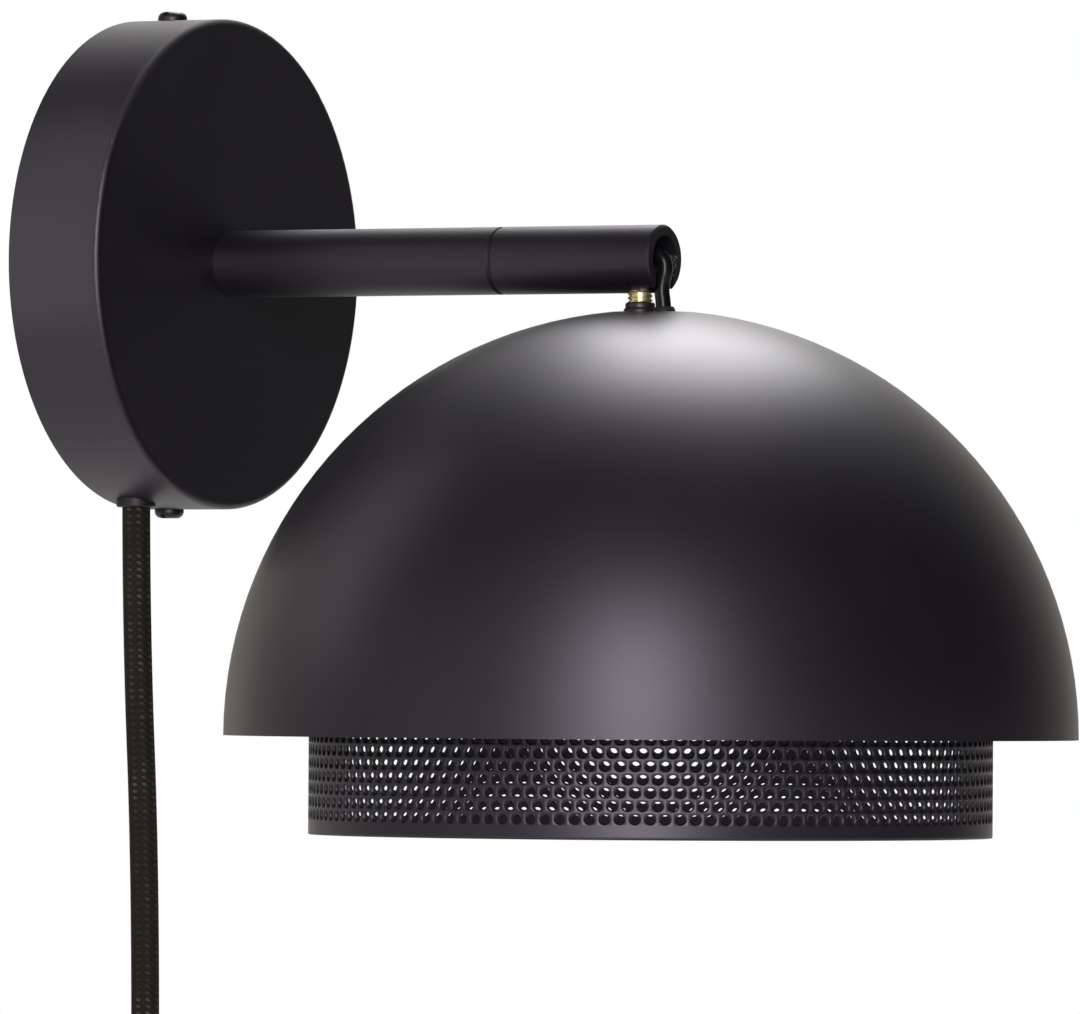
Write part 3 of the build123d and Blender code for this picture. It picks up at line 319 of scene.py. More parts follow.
# %% [markdown]
# The outer arm section has the same coat, but the mouth of its bore was cut after painting: inside it,
# bare steel shows in flecks. The bore could be a piece of its own with a second material. It is one solid
# with the arm, though, so a mask finds it by its distance from the arm's axis and lets the coat give way
# to metal there.

# %% Powder coat with a bare bore
BORE_RADIUS = 0.0055
BORE_SKIN = 0.00015
MOUTH_Y = -0.1385
BARE_SIDE = 0.001
FLECK_SCALE = 2600.0
FLECK_STRETCH = (1.0, 2.0, 1.0)
FLECK_SPREAD = (0.56, 0.66)
BARE_STEEL = shade(0.75, 0.72, 0.68)

arm_paint = powder_coat("black_powder_coat_arm")
place = arm_paint.place()
across, along, upward = arm_paint.parts(place)
in_bore = arm_paint.span(across, upward) < BORE_RADIUS + BORE_SKIN
bare_place = in_bore * (along < MOUTH_Y) * (upward < BARE_SIDE) * (across > BARE_SIDE)
flecks = arm_paint.noise(arm_paint.stretched(place, FLECK_STRETCH), FLECK_SCALE)
bare = bare_place * arm_paint.ramp(flecks, *FLECK_SPREAD)
arm_paint.set(
    base_color=arm_paint.mixed(bare, arm_paint.already("base_color"), BARE_STEEL),
    metallic=bare,
)
print("made", arm_paint.material.name)

# %% [markdown]
# Dust settles along the upper front edge of the canopy and takes the gloss off the coat there. The faces
# of that edge could be given another material, but it would end in a hard line. Three ramps pick the edge
# out softly: the distance from the canopy's axis, the distance from the wall, and the height.

# %% Powder coat with a dusty rim
RIM_RADIUS = (0.0568, 0.0574)
RIM_FRONT = (-0.0233, -0.0239)
RIM_HEIGHT = (0.022, 0.042)
RIM_DULL = 0.28

canopy_paint = powder_coat("black_powder_coat_canopy")
across, along, upward = canopy_paint.parts(canopy_paint.place())
far_out = canopy_paint.ramp(canopy_paint.span(across, upward), *RIM_RADIUS)
dusty = far_out * canopy_paint.ramp(along, *RIM_FRONT) * canopy_paint.ramp(upward, *RIM_HEIGHT)
canopy_paint.set(roughness=canopy_paint.already("roughness") + RIM_DULL * dusty)
print("made", canopy_paint.material.name)

# %% [markdown]
# Blackened steel, zinc plate, brass and nickel are the small metals: nuts, washers, the stud, the plug's
# pins. One colour and one gloss could do for each, but bare metal is never evenly polished. So one noise
# wanders in tone and gloss, and another, flattened along the height, leaves fine lines round a part as a
# lathe does.

# %% Metals
PATCH_SCALE = 350.0
PATCH_SPREAD = (0.3, 0.7)
SCRATCH_SCALE = 3150.0
SCRATCH_STRETCH = (1.0, 1.0, 6.0)
SCRATCH_DEPTH = 0.00002


def metal(name, dark, light, roughness, metallic=1.0):
    """A small part's metal between two tones."""
    made = Finish(name, metallic=metallic)
    place = made.place()
    patches = made.noise(place, PATCH_SCALE, detail=3.0)
    scratches = made.noise(made.stretched(place, SCRATCH_STRETCH), SCRATCH_SCALE)
    made.set(
        base_color=made.mixed(made.ramp(patches, *PATCH_SPREAD), shade(*dark), shade(*light)),
        roughness=roughness - 0.08 + 0.12 * patches + 0.08 * scratches,
        normal=made.bumped(scratches, SCRATCH_DEPTH, strength=0.3),
    )
    return made


black_steel = metal("blackened_steel", (0.016, 0.013, 0.013), (0.030, 0.026, 0.025), 0.40, metallic=0.5)
zinc_steel = metal("zinc_plate", (0.50, 0.50, 0.49), (0.64, 0.65, 0.66), 0.34)
brass = metal("turned_brass", (0.78, 0.64, 0.38), (0.93, 0.84, 0.60), 0.36)
nickel_pins = metal("nickel_plate", (0.62, 0.60, 0.56), (0.74, 0.72, 0.69), 0.18)
print("made", [finish.material.name for finish in (black_steel, zinc_steel, brass, nickel_pins)])

# %% [markdown]
# Plastic and rubber take their look from the mould: a fine spark-eroded grain on the matte ones, and a
# smooth skin on the cable's sheath and the wires. Each could have nodes of its own, but they differ only
# in tone, roughness, grain and shine, so one function with those values makes them all.

# %% Plastics and rubber
MOULD_PATCH_SCALE = 60.0


def moulded(name, dark, light, roughness, grain_scale, grain_depth, shine=0.35):
    """A moulded skin between two tones."""
    made = Finish(name, specular_ior_level=shine)
    place = made.place()
    patches = made.noise(place, MOULD_PATCH_SCALE)
    grain = made.noise(place, grain_scale)
    made.set(
        base_color=made.mixed(made.ramp(patches, *PATCH_SPREAD), shade(*dark), shade(*light)),
        roughness=roughness - 0.04 + 0.06 * patches + 0.04 * grain,
        normal=made.bumped(grain, grain_depth, strength=0.5),
    )
    return made


black_plastic = moulded(
    "moulded_black", (0.0060, 0.0052, 0.0052), (0.0090, 0.0080, 0.0080),
    roughness=0.48, grain_scale=2600.0, grain_depth=0.00004, shine=0.25,
)
white_plastic = moulded(
    "moulded_white", (0.72, 0.71, 0.66), (0.78, 0.77, 0.73),
    roughness=0.42, grain_scale=1800.0, grain_depth=0.00002,
)
black_rubber = moulded(
    "black_rubber", (0.0075, 0.0070, 0.0070), (0.0110, 0.0104, 0.0104),
    roughness=0.62, grain_scale=3200.0, grain_depth=0.00005,
)
cable_sheath = moulded(
    "cable_sheath", (0.0030, 0.0028, 0.0032), (0.0045, 0.0042, 0.0048),
    roughness=0.26, grain_scale=500.0, grain_depth=0.00001, shine=0.18,
)
brown_wire = moulded(
    "brown_wire", (0.15, 0.070, 0.035), (0.19, 0.090, 0.045),
    roughness=0.34, grain_scale=900.0, grain_depth=0.00001,
)
blue_wire = moulded(
    "blue_wire", (0.035, 0.085, 0.26), (0.045, 0.105, 0.32),
    roughness=0.34, grain_scale=900.0, grain_depth=0.00001,
)
print("made five plastics and a rubber")

# %% [markdown]
# The supply cord wears a braided sleeve. Eight pairs of yarns cross in a diamond net, and each crossing
# shows as a small pillow, with a painted highlight on its crown. The yarns could be modelled one by one,
# but on nearly two metres of cord that is a great many faces. Instead the tube carries its own map, once
# round in u and metres along in v, so two families of diagonal stripes, one leaning each way, give the
# net at its true scale.

# %% Net of the braid
WEAVE = "weave"
YARN_PAIRS = 8
YARN_RISE = 0.0016
BRAID_SHINE = 0.22
BRAID_TINT = shade(1.0, 0.84, 0.70)

cord_braid = Finish("cord_braid", specular_ior_level=BRAID_SHINE, specular_tint=BRAID_TINT)
turn, reach, _ = cord_braid.parts(cord_braid.take("UV", "ShaderNodeUVMap", {"uv_map": WEAVE}))
leaning_left = turn * YARN_PAIRS + reach / YARN_RISE
leaning_right = turn * YARN_PAIRS - reach / YARN_RISE
left_yarn = cord_braid.maths("FLOOR", leaning_left)
right_yarn = cord_braid.maths("FLOOR", leaning_right)
left_side = leaning_left - left_yarn
right_side = leaning_right - right_yarn
left_crown = 4 * left_side * (1 - left_side)
right_crown = 4 * right_side * (1 - right_side)
left_on_top = cord_braid.maths("PINGPONG", left_yarn + right_yarn, 1.0)
crown = left_on_top * left_crown + (1 - left_on_top) * right_crown
pillow = crown * (0.4 + 0.6 * left_crown * right_crown)
print("net of", YARN_PAIRS, "pairs of yarns, each", YARN_RISE, "m along the cord")

# %% [markdown]
# The braid is not evenly black. The crowns of one family of yarns get a painted highlight, as if they
# caught the light, and that family is a little lighter in tone as well. Spots could be painted on, but the
# cord is long, and a painted spot repeats. Three sizes of noise dim the painted highlight instead, from
# single fibres to whole patches, so some stretches of cord show less of it than others.

# %% Yarn of the braid
FIBRE_SCALE = 5200.0
SHEEN_PATCH_SCALE = 340.0
SHEEN_PATCH_SPREAD = (0.40, 0.62)
SHEEN_STRETCH_SCALE = 70.0
SHEEN_STRETCH_SPREAD = (0.38, 0.62)
LIT_SPREAD = (0.35, 0.95)
BRAID_DULL = 0.78
PILLOW_DEPTH = 0.00035
DARK_YARN = shade(0.0040, 0.0031, 0.0026)
LIGHT_YARN = shade(0.0058, 0.0050, 0.0038)
# The colour of the painted highlight on the yarn crowns.
PAINTED_SHEEN_COLOUR = shade(0.044, 0.036, 0.027)

place = cord_braid.place()
fibres = cord_braid.noise(place, FIBRE_SCALE)
sheen_patches = cord_braid.ramp(cord_braid.noise(place, SHEEN_PATCH_SCALE), *SHEEN_PATCH_SPREAD)
sheen_stretches = cord_braid.ramp(cord_braid.noise(place, SHEEN_STRETCH_SCALE, detail=1.0), *SHEEN_STRETCH_SPREAD)
# The painted highlight: the crowns of one yarn family are lighter in colour, dimmed in patches by noise.
lit = cord_braid.ramp(pillow * (0.6 + 0.8 * fibres), *LIT_SPREAD) * (0.25 + 0.75 * sheen_patches)
lit = lit * (0.12 + 0.88 * left_on_top) * (0.15 + 0.85 * sheen_stretches)
yarn = cord_braid.mixed(left_on_top, DARK_YARN, LIGHT_YARN)
cord_braid.set(
    base_color=cord_braid.mixed(lit, yarn, PAINTED_SHEEN_COLOUR),
    roughness=BRAID_DULL - 0.2 * lit,
    normal=cord_braid.bumped(pillow + 0.15 * fibres, PILLOW_DEPTH, strength=0.8),
)
print("made", cord_braid.material.name)

# %% [markdown]
# A cord is a fixed length of something bendy, so it starts as one smooth line. Straight runs with rounded
# corners would look like bent wire. Instead the CAD model's corner points become the control points of a
# NURBS spline of order 3, which rounds every corner by itself. Reading the spline back as points gives
# the line that a tube can follow.

# %% Smooth lines
def smooth_line(points, steps):
    """Points along the NURBS spline whose control points are given."""
    data = bpy.data.curves.new("line", "CURVE")
    data.dimensions = "3D"
    spline = data.splines.new("NURBS")
    spline.points.add(len(points) - 1)
    for slot, point in zip(spline.points, points):
        slot.co = (*point, 1.0)
    spline.order_u = 3
    spline.use_endpoint_u = True
    spline.resolution_u = steps
    holder = bpy.data.objects.new("line", data)
    scene.collection.objects.link(holder)
    bpy.context.view_layer.update()
    depsgraph = bpy.context.evaluated_depsgraph_get()
    mesh = bpy.data.meshes.new_from_object(holder.evaluated_get(depsgraph))
    line = [vertex.co.copy() for vertex in mesh.vertices]
    bpy.data.objects.remove(holder)
    bpy.data.meshes.remove(mesh)
    return line


def line_length(line):
    """The length of a line, rounded to a tenth of a millimetre."""
    return round(sum((b - a).length for a, b in zip(line, line[1:])), 4)


print("smooth lines ready")

# %% [markdown]
# The pieces that CAD shows only in outline are new meshes. They could be cut from ready-made cylinders,
# but points and faces listed in code come out clean and in the lamp's own frame. Anything round, be it a
# cord or a screw, is a stack of rings of points with faces between them and a cap at each end.

# %% Pieces and rings
SHARP_ANGLE = 50


def add_piece(name, verts, faces, material, sharp_angle=None):
    """A mesh piece in the lamp's frame, smooth up to an angle between faces, or flat without one."""
    mesh = bpy.data.meshes.new(name)
    mesh.from_pydata(verts, [], faces)
    mesh.update()
    mesh.materials.append(material)
    if sharp_angle is not None:
        mesh.shade_smooth()
        mesh.set_sharp_from_angle(angle=math.radians(sharp_angle))
    piece = bpy.data.objects.new(name, mesh)
    scene.collection.objects.link(piece)
    return piece


def tube_faces(rings, sides):
    """The faces between rings of points, and a cap at each end."""
    faces = []
    for low in range(0, (rings - 1) * sides, sides):
        high = low + sides
        for k in range(sides):
            n = (k + 1) % sides
            faces.append((low + k, low + n, high + n, high + k))
    faces.append(tuple(range(sides - 1, -1, -1)))
    faces.append(tuple(range((rings - 1) * sides, rings * sides)))
    return faces


print("pieces and rings ready")

# %% [markdown]
# A round tube could come from a curve with a bevel, but that has no map in true metres for the braid.
# This one is laid ring by ring along its line. Each ring takes its sideways direction from the ring
# before it, so the tube doesn't twist, and every face knows how far along the cord it lies.

# %% Tubes
def lay_map(piece, travelled, sides):
    """Lays the braid's map on a tube: once round in u, metres along in v."""
    layer = piece.data.uv_layers.new(name=WEAVE)
    for face in piece.data.polygons[:(len(travelled) - 1) * sides]:
        i, k = divmod(face.index, sides)
        corners = ((k, i), (k + 1, i), (k + 1, i + 1), (k, i + 1))
        for loop, (around, ring) in zip(face.loop_indices, corners):
            layer.data[loop].uv = (around / sides, travelled[ring])


def tube(name, line, radius, sides, material):
    """A round tube along a line. The radius is a number, or a function of the length so far."""
    side = Vector((1, 0, 0))
    verts = []
    travelled = []
    so_far = 0.0
    for i, point in enumerate(line):
        ahead = (line[min(i + 1, len(line) - 1)] - line[max(i - 1, 0)]).normalized()
        side = (side - ahead * side.dot(ahead)).normalized()
        other = ahead.cross(side)
        if i:
            so_far += (point - line[i - 1]).length
        travelled.append(so_far)
        reach = radius(so_far) if callable(radius) else radius
        for k in range(sides):
            angle = 2 * math.pi * k / sides
            verts.append(point + reach * (math.cos(angle) * side + math.sin(angle) * other))
    piece = add_piece(name, verts, tube_faces(len(line), sides), material, sharp_angle=SHARP_ANGLE)
    lay_map(piece, travelled, sides)
    return piece


print("tubes ready")

# %% [markdown]
# The cord leaves the canopy through its gland and hangs past the lower edge of the picture to a switch.
# It could be simulated as a rope, but its own weight keeps it nearly straight, so the four points of the
# CAD route are enough: straight down out of the gland, a little away from the wall, and straight down
# into the switch.

# %% Hanging cord
CORD_DIAMETER = 0.0067
CORD_SIDES = 24
HANGING_STEPS = 24

hanging_points = [
    (-0.013, -0.0069, -0.04504),
    (-0.013, -0.0069, -0.08174),
    (-0.013, -0.0105, -0.150),
    (-0.013, -0.0105, -0.194),
]
hanging_line = smooth_line(hanging_points, HANGING_STEPS)
hanging_cord = tube("braided_cord", hanging_line, CORD_DIAMETER / 2, CORD_SIDES, cord_braid.material)
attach(hanging_cord, "base")
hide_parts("hanging_cord")
line_length(hanging_line)
print("hanging cord", line_length(hanging_line), "m")

# %% [markdown]
# The spare length below the switch is wound into a flat coil, held by a tie, as a lamp comes out of its
# box. Closed rings would look much the same, but a real coil is one cord: half circles step inwards for
# three turns, climb to a second layer and step out again. A spline of order 3 runs a little inside its
# control points, by the cosine of half their spacing, so the points stand out by that much and the turns
# keep their true radius.

# %% Route of the coil
COIL_START = Vector((-0.013, -0.0105, -0.288))
COIL_RADIUS = 0.045
TURN_PITCH = 0.0073
HALF_TURNS_IN = 6
HALF_TURNS_OUT = 7
POINTS_PER_HALF = 8
STAND_OUT = 1 / math.cos(math.pi / POINTS_PER_HALF / 2)
COIL_STEPS = 5


def half_turn(start, radius, heading, climb):
    """Control points of a half circle that ends beside its start, and the end itself."""
    end = start + Vector((2 * radius * heading, -climb, 0))
    middle = (start + end) / 2
    first = math.pi if heading > 0 else 0.0
    points = []
    for k in range(POINTS_PER_HALF):
        angle = first + math.pi * k / POINTS_PER_HALF
        forward = climb / 2 * math.cos(math.pi * k / POINTS_PER_HALF)
        ring = Vector((math.cos(angle), 0, math.sin(angle))) * radius * STAND_OUT
        points.append(middle + ring + Vector((0, forward, 0)))
    return points, end


coil_points = [Vector((-0.013, -0.0105, -0.246)), Vector((-0.013, -0.0105, -0.268))]
here = COIL_START
coil_radius = COIL_RADIUS
heading = 1
for number in range(HALF_TURNS_IN + 1 + HALF_TURNS_OUT):
    climb = TURN_PITCH if number == HALF_TURNS_IN else 0.0
    turn_points, here = half_turn(here, coil_radius, heading, climb)
    coil_points += turn_points
    coil_radius += TURN_PITCH / 2 if number >= HALF_TURNS_IN else -TURN_PITCH / 2
    heading = -heading
tail_points = [
    here,
    Vector((-0.0203, -0.0178, -0.311)),
    Vector((-0.0203, -0.0288, -0.337)),
    Vector((-0.0203, -0.0288, -0.3555)),
]
coil_points += tail_points
coil_line = smooth_line(coil_points, COIL_STEPS)
print("coil of", len(coil_points), "points, the tail starts at", short(here))

# %% [markdown]
# Where the cord goes into the plug, a ribbed sleeve keeps it from kinking: a soft moulded cone with
# grooves. It could be turned as one profile and bent afterwards. The tube already follows a bent line,
# though, so only its radius has to change along the way: thin at the cord, thick at the plug, with a
# groove after each rib.

# %% Plug sleeve
SLEEVE_LENGTH = 0.026
SLEEVE_THICK = 0.0056
SLEEVE_THIN = 0.0042
SLEEVE_RIBS = 7
SLEEVE_SIDES = 28
RIB_SHARE = 0.55
RIBBED_SHARE = 0.9
GROOVE_DEPTH = 0.0006
TAIL_STEPS = 40


def sleeve_radius(distance):
    """Thin at the cord's end, thick at the plug, with grooves between the ribs."""
    share = distance / SLEEVE_LENGTH
    grooved = share < RIBBED_SHARE and (share * SLEEVE_RIBS) % 1.0 > RIB_SHARE
    return SLEEVE_THIN + (SLEEVE_THICK - SLEEVE_THIN) * share - (GROOVE_DEPTH if grooved else 0.0)


def last_stretch(line, length):
    """The points of a line that lie within a length of its end."""
    steps = [(b - a).length for a, b in zip(line, line[1:])]
    start = sum(steps) - length
    return [point for i, point in enumerate(line[1:], 1) if sum(steps[:i]) > start]


sleeve_line = last_stretch(smooth_line(tail_points, TAIL_STEPS), SLEEVE_LENGTH)
plug_sleeve = tube("plug_sleeve", sleeve_line, sleeve_radius, SLEEVE_SIDES, black_plastic.material)
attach(plug_sleeve, "base")
print("plug sleeve", line_length(sleeve_line), "m with", SLEEVE_RIBS, "ribs")

# %% [markdown]
# The rest of the cord is one length, from the switch through the coil into the plug. It could be three
# tubes, as in the CAD model, but then the braid would start anew at each joint. One tube along the whole
# line keeps the braid unbroken, and it stands for three CAD solids at once.

# %% Spare cord
spare_cord = tube("braided_cord_spare", coil_line, CORD_DIAMETER / 2, CORD_SIDES, cord_braid.material)
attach(spare_cord, "base")
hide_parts("lower_cord", "cord_coil", "cord_tail")
line_length(coil_line)
print("spare cord", line_length(coil_line), "m")

# %% [markdown]
# The lamp's own cable comes out of the arm's open end, turns down in a tight bend and goes through a small
# bushing in the dome. Its sheath is glossier than the coat around it. A single bend would do to join the
# two holes, but a stiff cable bulges out before it turns, so more points than that set its curve.

# %% Lamp cable
CABLE_DIAMETER = 0.0036
CABLE_SIDES = 24
CABLE_STEPS = 12

cable_points = [
    (0, -0.1220, 0),
    (0, -0.1310, 0),
    (0, -0.1380, 0.0010),
    (0, -0.1432, 0.0016),
    (0, -0.1456, -0.0016),
    (0, -0.1440, -0.0066),
    (0, -0.1448, -0.0110),
    (0, -0.1450, -0.0180),
    (0, -0.1420, -0.0246),
    (0, -0.1420, -0.0386),
]
cable_line = smooth_line(cable_points, CABLE_STEPS)
lamp_cable = tube("lamp_cable_sheath", cable_line, CABLE_DIAMETER / 2, CABLE_SIDES, cable_sheath.material)
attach(lamp_cable, "head")
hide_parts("lamp_cable")
line_length(cable_line)
print("lamp cable", line_length(cable_line), "m")

# %% [markdown]
# The ring below the dome is perforated sheet, rolled round, with 144 round holes in each row and every
# second row shifted by half a hole. Cutting so many holes with booleans is slow. Instead the ring is laid
# out as a grid of small cells, one for each hole: level lines run between the rows, with a point at every
# half hole, on the outer skin of the sheet and on the inner one.

# %% Grid of the ring
RING_CENTRE_Y = -0.142
RING_OUTER = 0.080
RING_SHEET = 0.0009
RING_BOTTOM = -0.135
RING_TOP = -0.088
FOOT_CHAMFER = 0.0002
FOOT_BAND = 0.0008
FIRST_ROW = -0.13025
ROW_PITCH = 0.00303
HOLE_ROWS = 11
HOLES_ROUND = 144
HOLE_SHIFT = 0.16
PATTERN_TURN = HOLE_SHIFT / HOLES_ROUND
OUTER = 0
INNER = 1

half_cells = 2 * HOLES_ROUND
foot_lines = [RING_BOTTOM + FOOT_CHAMFER, RING_BOTTOM + FOOT_BAND]
row_lines = [FIRST_ROW + (row - 0.5) * ROW_PITCH for row in range(HOLE_ROWS + 1)]
level_lines = foot_lines + row_lines + [RING_TOP]
ring_verts = []
ring_faces = []


def on_ring(turns, height, depth):
    """A point of the ring: turns round it, height, and depth below the outer skin."""
    angle = 2 * math.pi * (turns + PATTERN_TURN)
    reach = RING_OUTER - depth
    return (reach * math.sin(angle), RING_CENTRE_Y - reach * math.cos(angle), height)


def add_circle(height, depth):
    """A closed line of points right round the ring."""
    for step in range(half_cells):
        ring_verts.append(on_ring(step / half_cells, height, depth))


def skin(level, step, side):
    """The number of a point on a level line of the outer or inner skin."""
    return (2 * level + side) * half_cells + step % half_cells


def add_face(corners, side):
    """A face of the outer skin, or turned over for the inner one."""
    ring_faces.append(corners[::-1] if side == INNER else corners)


for height in level_lines:
    add_circle(height, 0.0)
    add_circle(height, RING_SHEET)
print("ring grid of", len(level_lines), "level lines,", len(ring_verts), "points")

# %% [markdown]
# A cell has six corners, which it shares with its neighbours, and the hole in its middle is a circle of
# twelve points. A punch rolls the edge over as it goes in, so the hole is wider at the outer skin and
# narrows before it runs straight through. A bevel could round the edge afterwards, but circles at four
# depths do it at once, and the cells make the whole ring one clean mesh: outer skin, inner skin and hole
# walls together.

# %% Holes of the ring
HOLE_RADIUS = 0.00106
HOLE_SIDES = 12
# A circle's first point lies towards the lower left corner of its cell.
HOLE_START = math.radians(210)
# From the outer skin to the inner one: how much wider than the hole a circle is, and how deep it lies.
HOLE_EDGES = ((0.00039, 0.0), (0.00031, 0.00005), (0.00006, 0.00035), (0.0, RING_SHEET))


def add_hole_circle(middle, height, wider, depth):
    """Adds a circle of points round a hole, and gives the number of the first one."""
    first = len(ring_verts)
    radius = HOLE_RADIUS + wider
    for k in range(HOLE_SIDES):
        angle = HOLE_START + 2 * math.pi * k / HOLE_SIDES
        turns = middle / half_cells + radius * math.cos(angle) / (2 * math.pi * RING_OUTER)
        ring_verts.append(on_ring(turns, height + radius * math.sin(angle), depth))
    return first


def add_cell(level, middle, circle, side):
    """The sheet round a hole, from the six corners of its cell to its circle."""
    border = [skin(level, middle + n, side) for n in (-1, 0, 1)]
    border += [skin(level + 1, middle + n, side) for n in (1, 0, -1)]
    for i, a in enumerate(border):
        b = border[(i + 1) % len(border)]
        p, q, r = (circle + (2 * i + n) % HOLE_SIDES for n in range(3))
        add_face((a, b, q), side)
        add_face((a, q, p), side)
        add_face((b, r, q), side)


for row in range(HOLE_ROWS):
    level = len(foot_lines) + row
    height = FIRST_ROW + row * ROW_PITCH
    for hole in range(HOLES_ROUND):
        middle = 2 * hole + row % 2
        circles = [add_hole_circle(middle, height, wider, depth) for wider, depth in HOLE_EDGES]
        add_cell(level, middle, circles[0], OUTER)
        add_cell(level, middle, circles[-1], INNER)
        for shallow, deep in zip(circles, circles[1:]):
            for k in range(HOLE_SIDES):
                n = (k + 1) % HOLE_SIDES
                ring_faces.append((shallow + k, shallow + n, deep + n, deep + k))
print("ring with", HOLE_ROWS * HOLES_ROUND, "holes,", len(ring_faces), "faces so far")

# %% [markdown]
# Below the first row and above the last one the sheet is plain. Its foot is a cut edge with the burr
# taken off, so it gets a small chamfer on both sides, which catches the light. The top edge could have
# one too, but the dome hides it, so it stays square.

# %% Edges of the ring
top = len(level_lines) - 1
for level in (0, 1, top - 1):
    for step in range(half_cells):
        for side in (OUTER, INNER):
            low_edge = (skin(level, step, side), skin(level, step + 1, side))
            high_edge = (skin(level + 1, step + 1, side), skin(level + 1, step, side))
            add_face(low_edge + high_edge, side)

outer_foot = len(ring_verts)
add_circle(RING_BOTTOM, FOOT_CHAMFER)
inner_foot = len(ring_verts)
add_circle(RING_BOTTOM, RING_SHEET - FOOT_CHAMFER)
for step in range(half_cells):
    n = (step + 1) % half_cells
    outer_edge = (outer_foot + n, outer_foot + step)
    inner_edge = (inner_foot + n, inner_foot + step)
    outer_top = (skin(top, step, OUTER), skin(top, n, OUTER))
    inner_top = (skin(top, n, INNER), skin(top, step, INNER))
    ring_faces.append(outer_edge[::-1] + (skin(0, n, OUTER), skin(0, step, OUTER)))
    ring_faces.append(inner_edge[::-1] + outer_edge)
    ring_faces.append((skin(0, step, INNER), skin(0, n, INNER)) + inner_edge)
    ring_faces.append(outer_top + inner_top)
print("whole ring", len(ring_verts), "points,", len(ring_faces), "faces")

# %% [markdown]
# Powder is sprayed from outside, so the coat inside the ring is taken to be thin and dull. The two skins
# could have a material each. A mask on the distance from the ring's axis does the same in one, and it
# changes over inside the hole walls, where nobody sees the line.

# %% Perforated ring
DULL_INSIDE = 0.42

ring_paint = powder_coat("black_powder_coat_ring")
across, along, _ = ring_paint.parts(ring_paint.place())
inside = ring_paint.span(across, along - RING_CENTRE_Y) < RING_OUTER - RING_SHEET / 2
ring_paint.set(roughness=ring_paint.already("roughness") + DULL_INSIDE * inside)
perforated_ring = add_piece(
    "perforated_sheet", ring_verts, ring_faces, ring_paint.material, sharp_angle=SHARP_ANGLE
)
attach(perforated_ring, "head")
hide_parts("perforated_ring")
print("made", perforated_ring.name, "in", ring_paint.material.name)

# %% [markdown]
# The brass stud under the arm shows two turns of bare thread above its collar. A thread could be swept
# along a helix and joined to a rod. But it is only one groove that winds round the rod, so here each
# point's radius depends on its height and its angle together, and the stud is one closed mesh from the
# start.

# %% Threaded stud
STUD_RADIUS = 0.0030
STUD_AXIS_Y = -0.1384
STUD_SIDES = 48
STUD_SHARP_ANGLE = 60
END_TAPER = 0.0005
THREAD_PITCH = 0.0010
THREAD_DEPTH = 0.00045
FLANK_SLOPE = 1.3
CREST_SHARE = 0.15
STEPS_PER_PITCH = 10

stud_low, stud_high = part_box("stud")
stud_height = stud_high.z - stud_low.z
stud_rows = int(stud_height / THREAD_PITCH * STEPS_PER_PITCH)
stud_verts = []
for row in range(stud_rows + 1):
    height = stud_low.z + stud_height * row / stud_rows
    taper = END_TAPER - min(height - stud_low.z, stud_high.z - height, END_TAPER)
    for k in range(STUD_SIDES):
        phase = (height / THREAD_PITCH - k / STUD_SIDES) % 1.0
        groove = max(0.0, abs(2 * phase - 1) * FLANK_SLOPE - CREST_SHARE)
        radius = STUD_RADIUS - THREAD_DEPTH * min(groove, 1.0) - taper
        angle = 2 * math.pi * k / STUD_SIDES
        stud_verts.append((radius * math.cos(angle), STUD_AXIS_Y + radius * math.sin(angle), height))
stud_faces = tube_faces(stud_rows + 1, STUD_SIDES)
stud = add_piece("threaded_stud", stud_verts, stud_faces, brass.material, sharp_angle=STUD_SHARP_ANGLE)
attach(stud, "head")
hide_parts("stud")
print("stud", round(stud_height, 4), "m with", round(stud_height / THREAD_PITCH, 1), "turns of thread")

# %% [markdown]
# Inside the canopy, two wires rise from the cord to the terminal block and two go on to the arm. Their
# CAD solids could stay, but wires are bendy too, so each is a smooth line with a tube, brown and blue as
# a mains pair is.

# %% Wires in the canopy
WIRE_RADIUS = 0.0010
WIRE_SIDES = 12
WIRE_STEPS = 10
POLE_X = 0.0045
ENTRY_Y = -0.0066
OVER_Y = ENTRY_Y - 0.001
wire_routes = {
    "supply_wires": [
        (brown_wire, [(-0.0143, -0.0069, -0.0450), (-0.0143, -0.0069, -0.022),
                      (-POLE_X, ENTRY_Y, 0.0), (-POLE_X, ENTRY_Y, 0.0142)]),
        (blue_wire, [(-0.0117, -0.0069, -0.0450), (-0.0117, -0.0069, -0.030),
                     (POLE_X, ENTRY_Y, -0.006), (POLE_X, ENTRY_Y, 0.0142)]),
    ],
    "arm_wires": [
        (blue_wire, [(POLE_X, ENTRY_Y, 0.0288), (POLE_X, ENTRY_Y, 0.0425), (0.020, OVER_Y, 0.0425),
                     (0.020, -0.0108, 0.0013), (0, -0.0108, 0.0013), (0, -0.015, 0.0013)]),
        (brown_wire, [(-POLE_X, ENTRY_Y, 0.0288), (-POLE_X, ENTRY_Y, 0.0465), (0.024, OVER_Y, 0.0465),
                      (0.024, -0.0108, -0.0013), (0, -0.0108, -0.0013), (0, -0.015, -0.0013)]),
    ],
}
for node, routes in wire_routes.items():
    for finish, points in routes:
        line = smooth_line(points, WIRE_STEPS)
        wire = tube(f"{node}_{finish.material.name}", line, WIRE_RADIUS, WIRE_SIDES, finish.material)
        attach(wire, "base")
        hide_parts(node)
        print(wire.name, line_length(line), "m")

# %% [markdown]
# Every other part keeps its CAD shape and only needs its finish. Each could be named here by hand, but
# the record of the model already says which slot a part's finish comes from. So one table of slots does
# them all, apart from the two painted parts that have a coat of their own.

